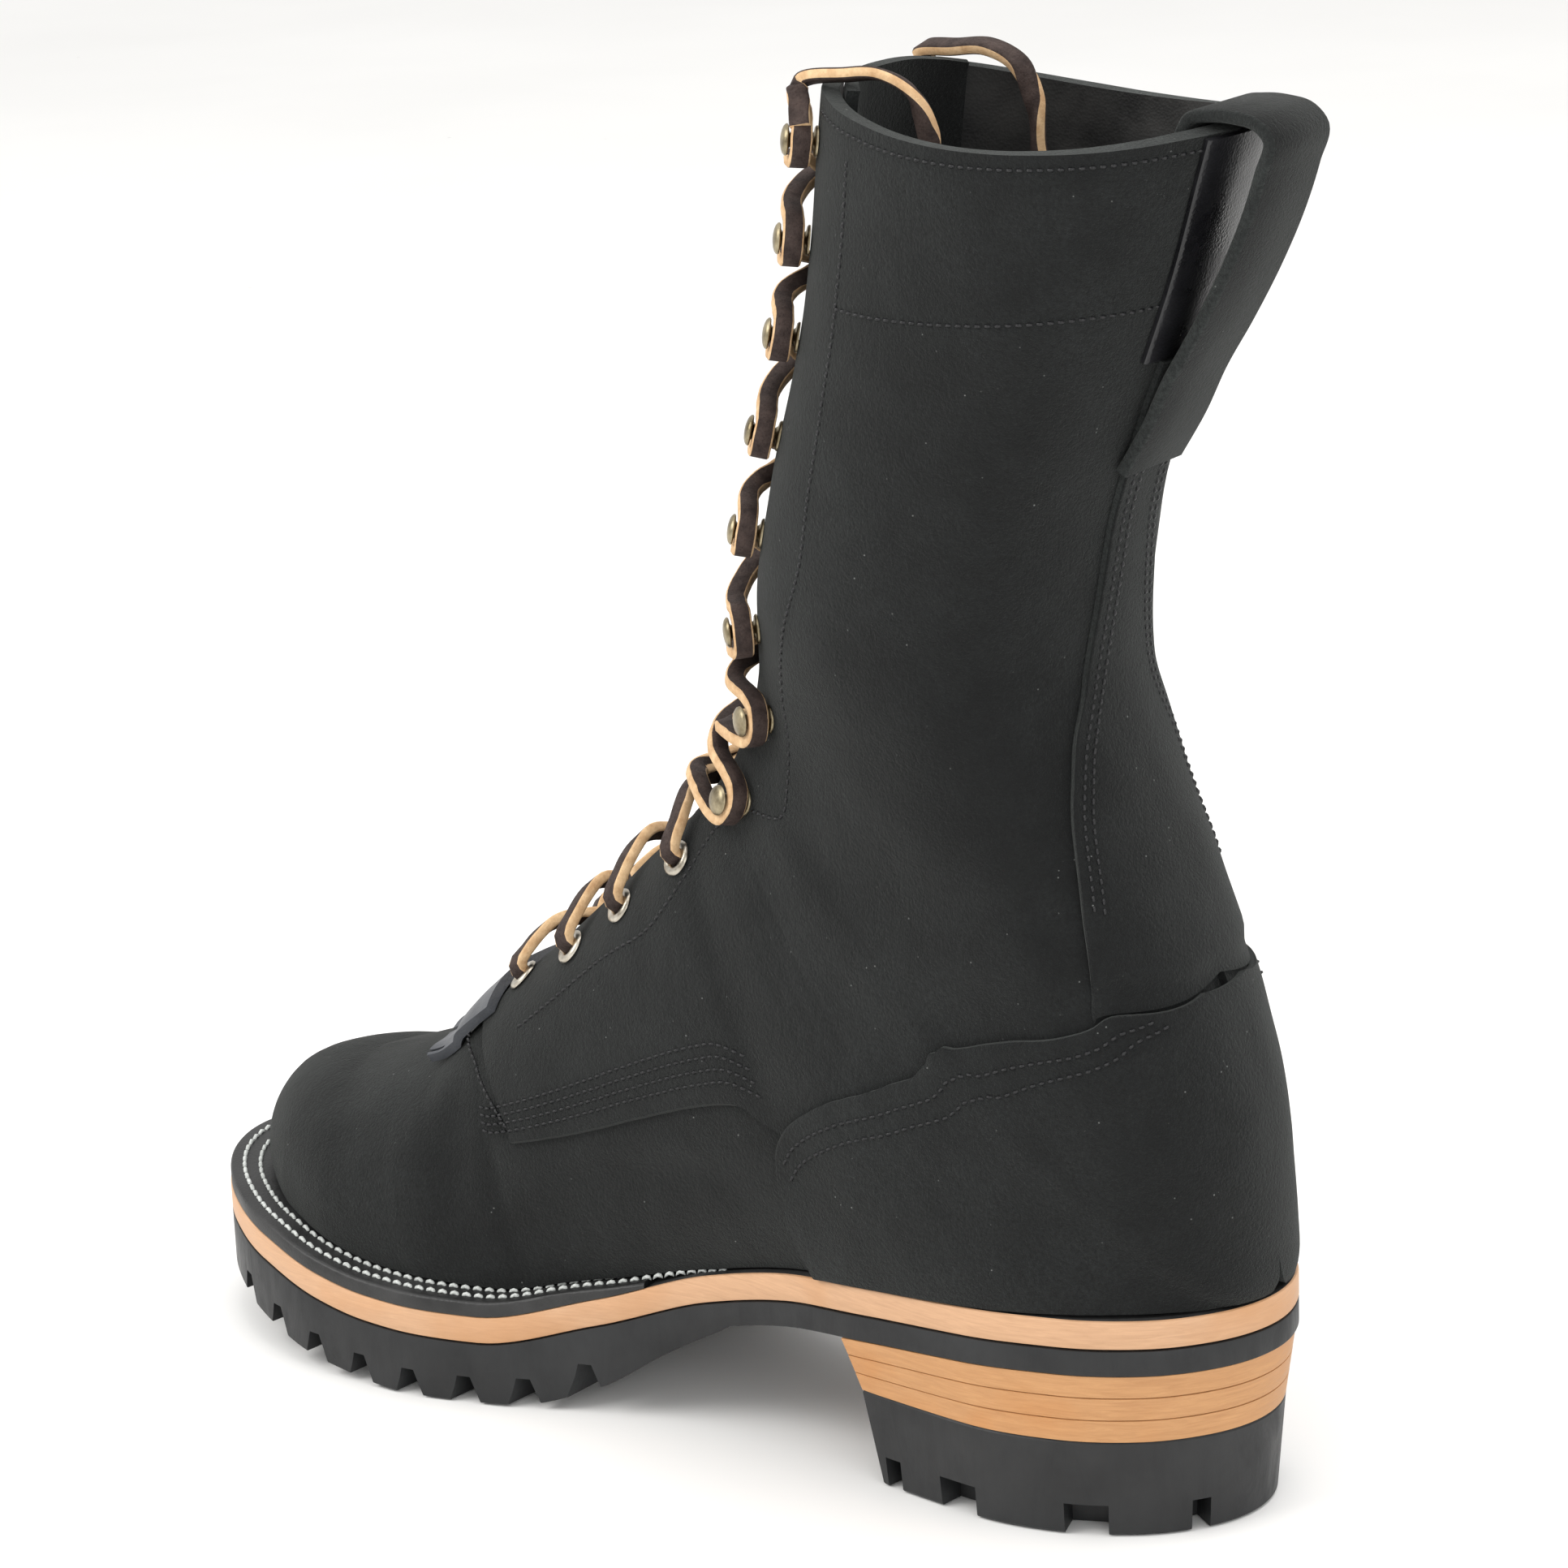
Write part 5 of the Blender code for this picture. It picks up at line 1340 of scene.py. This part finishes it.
def build_stitches(black):
    store = ([], [])
    low = [(4.02, 0.585), (4.10, 0.600), (4.60, 0.628), (5.33, 0.657), (5.68, 0.675), (5.95, 0.72)]
    for k in range(4):
        seam(store, shifted(low, 0.0, -0.021 * k - 0.004), QUARTER_STEP)
    seam(store, [(3.66, 0.12), (3.80, 0.25), (4.00, 0.40), (4.14, 0.52), (4.22, 0.60)], QUARTER_STEP)
    stay = [(13.83, 0.314), (12.9, 0.343), (11.68, 0.371), (9.62, 0.271),
            (6.7, 0.264), (5.22, 0.35), (4.78, 0.336), (4.33, 0.36)]
    seam(store, stay, QUARTER_STEP)
    top = QUARTER_STEP + LAYER + OVERLAY
    rows = np.linspace(5.95, 9.42, 24)
    edge = smooth(COUNTER["row"], COUNTER["down"], rows)
    for gap in (0.028, 0.052):
        seam(store, list(zip(rows, edge + gap)), top)
    rows = np.linspace(9.9, 12.8, 16)
    edge = smooth(BACKSTAY["row"], BACKSTAY["down"], rows)
    for gap in (0.018, 0.034):
        seam(store, list(zip(rows, np.minimum(edge + gap, 0.985))), top)
    seam(store, [(13.93, p) for p in np.linspace(0.19, 0.93, 14)], QUARTER_STEP)
    seam(store, [(13.18, p) for p in np.linspace(0.33, 0.93, 14)], QUARTER_STEP)
    piece("stitches_black", *store, [black], "suede", [], None, 70.0)


def build_welt_stitches(pale):
    store = ([], [])
    for inset in WELT_ROWS:
        near, far = rim(inset, count=241)
        loop = np.concatenate([near[112:], far[112:-1][::-1]])
        points = np.column_stack([loop, seat(loop[:, 1]) + 0.05])
        normals = np.tile([0.0, 0.0, 1.0], (len(points), 1))
        stitch_row(store, points, normals, WELT_PITCH, WELT_LONG, WELT_THICK, 0.1)
    piece("stitches_welt", *store, [pale], "rawhide", [], None, 70.0)


# Sole

def build_midsole(looks):
    points, faces, which = slab(lambda inset, count: rim(inset, count=count), midsole_top,
                                lambda a: midsole_top(a) - MIDSOLE, 0.7, 181)
    piece("midsole_edge", points, faces, looks, "tan_leather", ["midsole"], which, 32.0)


def build_outsole(look):
    points, faces, _ = slab(lambda inset, count: rim(inset, count=count),
                            lambda a: midsole_top(a) - MIDSOLE - CLEAR, underside, 0.5, 181)
    sole = piece("outsole_lugged", points, faces, [look], "rubber", ["outsole"], None, 30.0)
    store = ([], [])
    first = 0.565 * SOLE_LENGTH
    for k in range(8):
        along = first + k * LUG_PITCH
        for side in (-1.0, 1.0):
            edge = swing(along) + side * half_width(along)
            inner = swing(along) + side * half_width(along) * 0.52
            wide = LUG_GAP / 2
            low = float(underside(along)) - 3.0
            roof = float(underside(along)) + LUG_DEPTH
            box = []
            for height, w in ((low, wide + 0.9), (roof, wide * 0.45)):
                box += [(inner, along - w, height), (inner, along + w, height),
                        (edge + side * 14.0, along + w * 1.5 + 2.5, height),
                        (edge + side * 14.0, along - w * 1.5 + 2.5, height)]
            faces = [(0, 1, 2, 3), (4, 7, 6, 5), (0, 4, 5, 1), (1, 5, 6, 2), (2, 6, 7, 3), (3, 7, 4, 0)]
            add(store, box, faces)
    cut(sole, cutter(*store))
    sole.data.materials.clear()
    sole.data.materials.append(look)


def build_welt(look):
    count = 181
    near, far = rim(0.25, count=count)
    near_in, far_in = rim(WELT_LAP, count=count)
    first = 92
    loop_out = np.concatenate([near[first:], far[first:-1][::-1]])
    loop_in = np.concatenate([near_in[first:], far_in[first:-1][::-1]])
    rings = []
    for share, drop in ((0.0, 9.0), (0.0, 0.7), (0.03, 0.2), (0.09, 0.0), (1.0, 0.0), (1.0, 9.0)):
        edge = loop_out * (1 - share) + loop_in * share
        low = midsole_top(edge[:, 1]) + CLEAR * 0.4
        top = np.maximum(seat(edge[:, 1]), low + 0.4)
        rings.append(np.column_stack([edge, np.maximum(top - drop, low)]))
    size = len(loop_out)
    faces = []
    for k in range(6):
        for i in range(size - 1):
            a = k * size + i
            b = ((k + 1) % 6) * size + i
            faces.append((a, a + 1, b + 1, b))
    for i in (0, size - 1):
        faces.append(tuple(k * size + i for k in range(6)))
    piece("welt_strip", np.concatenate(rings), faces, [look], "welt_leather", ["welt"], None, 40.0)


def heel_edges(share, setback, count=15):
    along = HEEL_LENGTH * np.linspace(0.0, 1.0, count) ** 1.7
    moved = setback + along * (1.0 - setback / HEEL_LENGTH)
    half = half_width(along) * share
    shift = swing(along)
    return np.column_stack([shift + half, moved]), np.column_stack([shift - half, moved])


def heel_ring(height, share, setback, shift, inset, count):
    """Closed outline of the heel at one level, drawn in by inset, with a flat breast."""
    near, far = heel_edges(share, setback, count)
    for edge in (near, far):
        edge[:, 1] += shift * (edge[:, 1] / HEEL_LENGTH) ** 2
    middle_point = np.array([0.0, HEEL_LENGTH / 2])
    for edge in (near, far):
        away = edge - middle_point
        edge -= away / np.linalg.norm(away, axis=1)[:, None] * inset
    across = np.linspace(0.0, 1.0, 12)[1:-1, None]
    breast = near[-1] * (1 - across) + far[-1] * across
    loop = np.concatenate([near, breast, far[:0:-1]])
    level = height(loop[:, 1]) if callable(height) else np.full(len(loop), float(height))
    return np.column_stack([loop, level])


def heel_block(name, low, high, look, slot, nodes, bevel=0.35, count=61):
    rings = []
    for t, inset in ((1.0, bevel), (1.0 - 0.02, 0.0), (0.66, 0.0), (0.33, 0.0), (0.02, 0.0), (0.0, bevel)):
        height = lambda a, t=t: lift_of(low[0], a) * (1 - t) + lift_of(high[0], a) * t
        values = [low[i] * (1 - t) + high[i] * t for i in (1, 2, 3)]
        rings.append(heel_ring(height, *values, inset, count))
    size = len(rings[0])
    faces = []
    for k in range(len(rings) - 1):
        for i in range(size):
            j = (i + 1) % size
            faces.append((k * size + i, k * size + j, (k + 1) * size + j, (k + 1) * size + i))
    faces.append(tuple(range(size)))
    faces.append(tuple((len(rings) - 1) * size + i for i in reversed(range(size))))
    return piece(name, np.concatenate(rings), faces, [look], slot, nodes, None, 32.0)


def lift_of(height, along):
    return height(along) if callable(height) else np.full(np.shape(along), float(height))


def build_heel(stack, black):
    def top(along):
        return midsole_top(along) - MIDSOLE - PLY

    def level(k):
        share = k / LIFTS
        return lambda along: CAP_HEIGHT + (top(along) - CAP_HEIGHT) * share

    def gapped(height):
        return lambda along: height(along) - 0.12

    for k in range(LIFTS):
        low = (level(k), 0.955 + 0.012 * k, 3.4 - 0.9 * k, -3.0 + 1.6 * k)
        high = (gapped(level(k + 1)), 0.967 + 0.012 * k, 2.5 - 0.9 * k, -1.4 + 1.6 * k)
        name = "stack_lift_%d" % (k + 1)
        heel_block(name, low, high, stack, "stack_leather", ["heel_lift_%d" % (k + 1)], 0.3)
    low = (0.0, 0.90, 5.5, -7.0)
    high = (CAP_HEIGHT - 0.12, 0.955, 3.4, -3.0)
    cap = heel_block("heel_cap_rubber", low, high, black, "rubber", ["heel_cap"], 0.4)
    near, far = heel_edges(0.90, 5.5)
    store = ([], [])
    for edge in (near, far):
        for place, size in ((3, 4.0), (7, 9.0), (11, 9.0), (13, 4.0)):
            point = edge[place]
            run = edge[min(place + 1, len(edge) - 1)] - edge[place - 1]
            run = run / np.linalg.norm(run)
            side = np.array([run[1], -run[0]])
            if np.dot(side, point - np.array([0.0, HEEL_LENGTH / 2])) < 0:
                side = -side
            corners = [point - run * size / 2 - side * 7.0, point + run * size / 2 - side * 7.0,
                       point + run * size * 0.7 + side * 9.0, point - run * size * 0.7 + side * 9.0]
            box = [(x, y, z) for z in (-2.0, 8.0) for x, y in corners]
            faces = [(3, 2, 1, 0), (4, 5, 6, 7), (0, 1, 5, 4), (1, 2, 6, 5), (2, 3, 7, 6), (3, 0, 4, 7)]
            add(store, box, faces)
    cut(cap, cutter(*store))
    cap.data.materials.clear()
    cap.data.materials.append(black)


def main():
    build_camera()
    build_studio()
    nap = suede("roughout_black", (0.0018, 0.0019, 0.0021), (0.019, 0.021, 0.021))
    nap_edge = suede("roughout_edge", (0.007, 0.008, 0.008), (0.052, 0.058, 0.056))
    lining = smooth_leather("lining_leather", (0.010, 0.010, 0.010), (0.035, 0.034, 0.032), 0.55)
    grain = smooth_leather("grain_black", (0.006, 0.006, 0.007), (0.014, 0.014, 0.016), 0.30)
    fringe = smooth_leather("grain_grey", (0.040, 0.043, 0.050), (0.075, 0.080, 0.090), 0.42)
    welt_black = smooth_leather("welt_black", (0.008, 0.008, 0.008), (0.030, 0.030, 0.030), 0.48)
    tan = edge_leather("midsole_tan", (0.64, 0.385, 0.225), (0.48, 0.275, 0.150), (0.52, 0.255, 0.105))
    stack = edge_leather("stack_tan", (0.58, 0.310, 0.135), (0.42, 0.200, 0.075), (0.50, 0.200, 0.052))
    black = rubber("rubber_black")
    brass = metal("brass_antique")
    ring_look = silver("eyelet_metal")
    hide = rawhide("rawhide_face", (0.022, 0.013, 0.011), (0.060, 0.040, 0.034), 0.6)
    hide_edge = rawhide("rawhide_edge", (0.50, 0.300, 0.150), (0.74, 0.520, 0.300), 0.25)
    pale = thread_look("thread_pale", (0.42, 0.44, 0.42), (0.66, 0.68, 0.66), 0.6)
    dark = thread_look("thread_black", (0.002, 0.002, 0.003), (0.012, 0.012, 0.013), 0.34)
    build_upper([nap, lining, nap_edge])
    build_counter([nap, nap, nap_edge])
    build_backstay([nap, nap, nap_edge])
    build_back_strip([grain, grain, grain])
    build_tongue([nap, nap, nap_edge])
    build_kiltie([fringe, fringe, fringe])
    build_loop([nap, nap_edge])
    seats = build_fasteners(brass, ring_look)
    build_lace(seats, [hide, hide_edge])
    build_stitches(dark)
    build_welt_stitches(pale)
    build_midsole([tan, welt_black, tan])
    build_outsole(black)
    build_welt(welt_black)
    build_heel(stack, black)
    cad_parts["insole"].material_slots[0].material = lining


main()
bpy.context.view_layer.update()
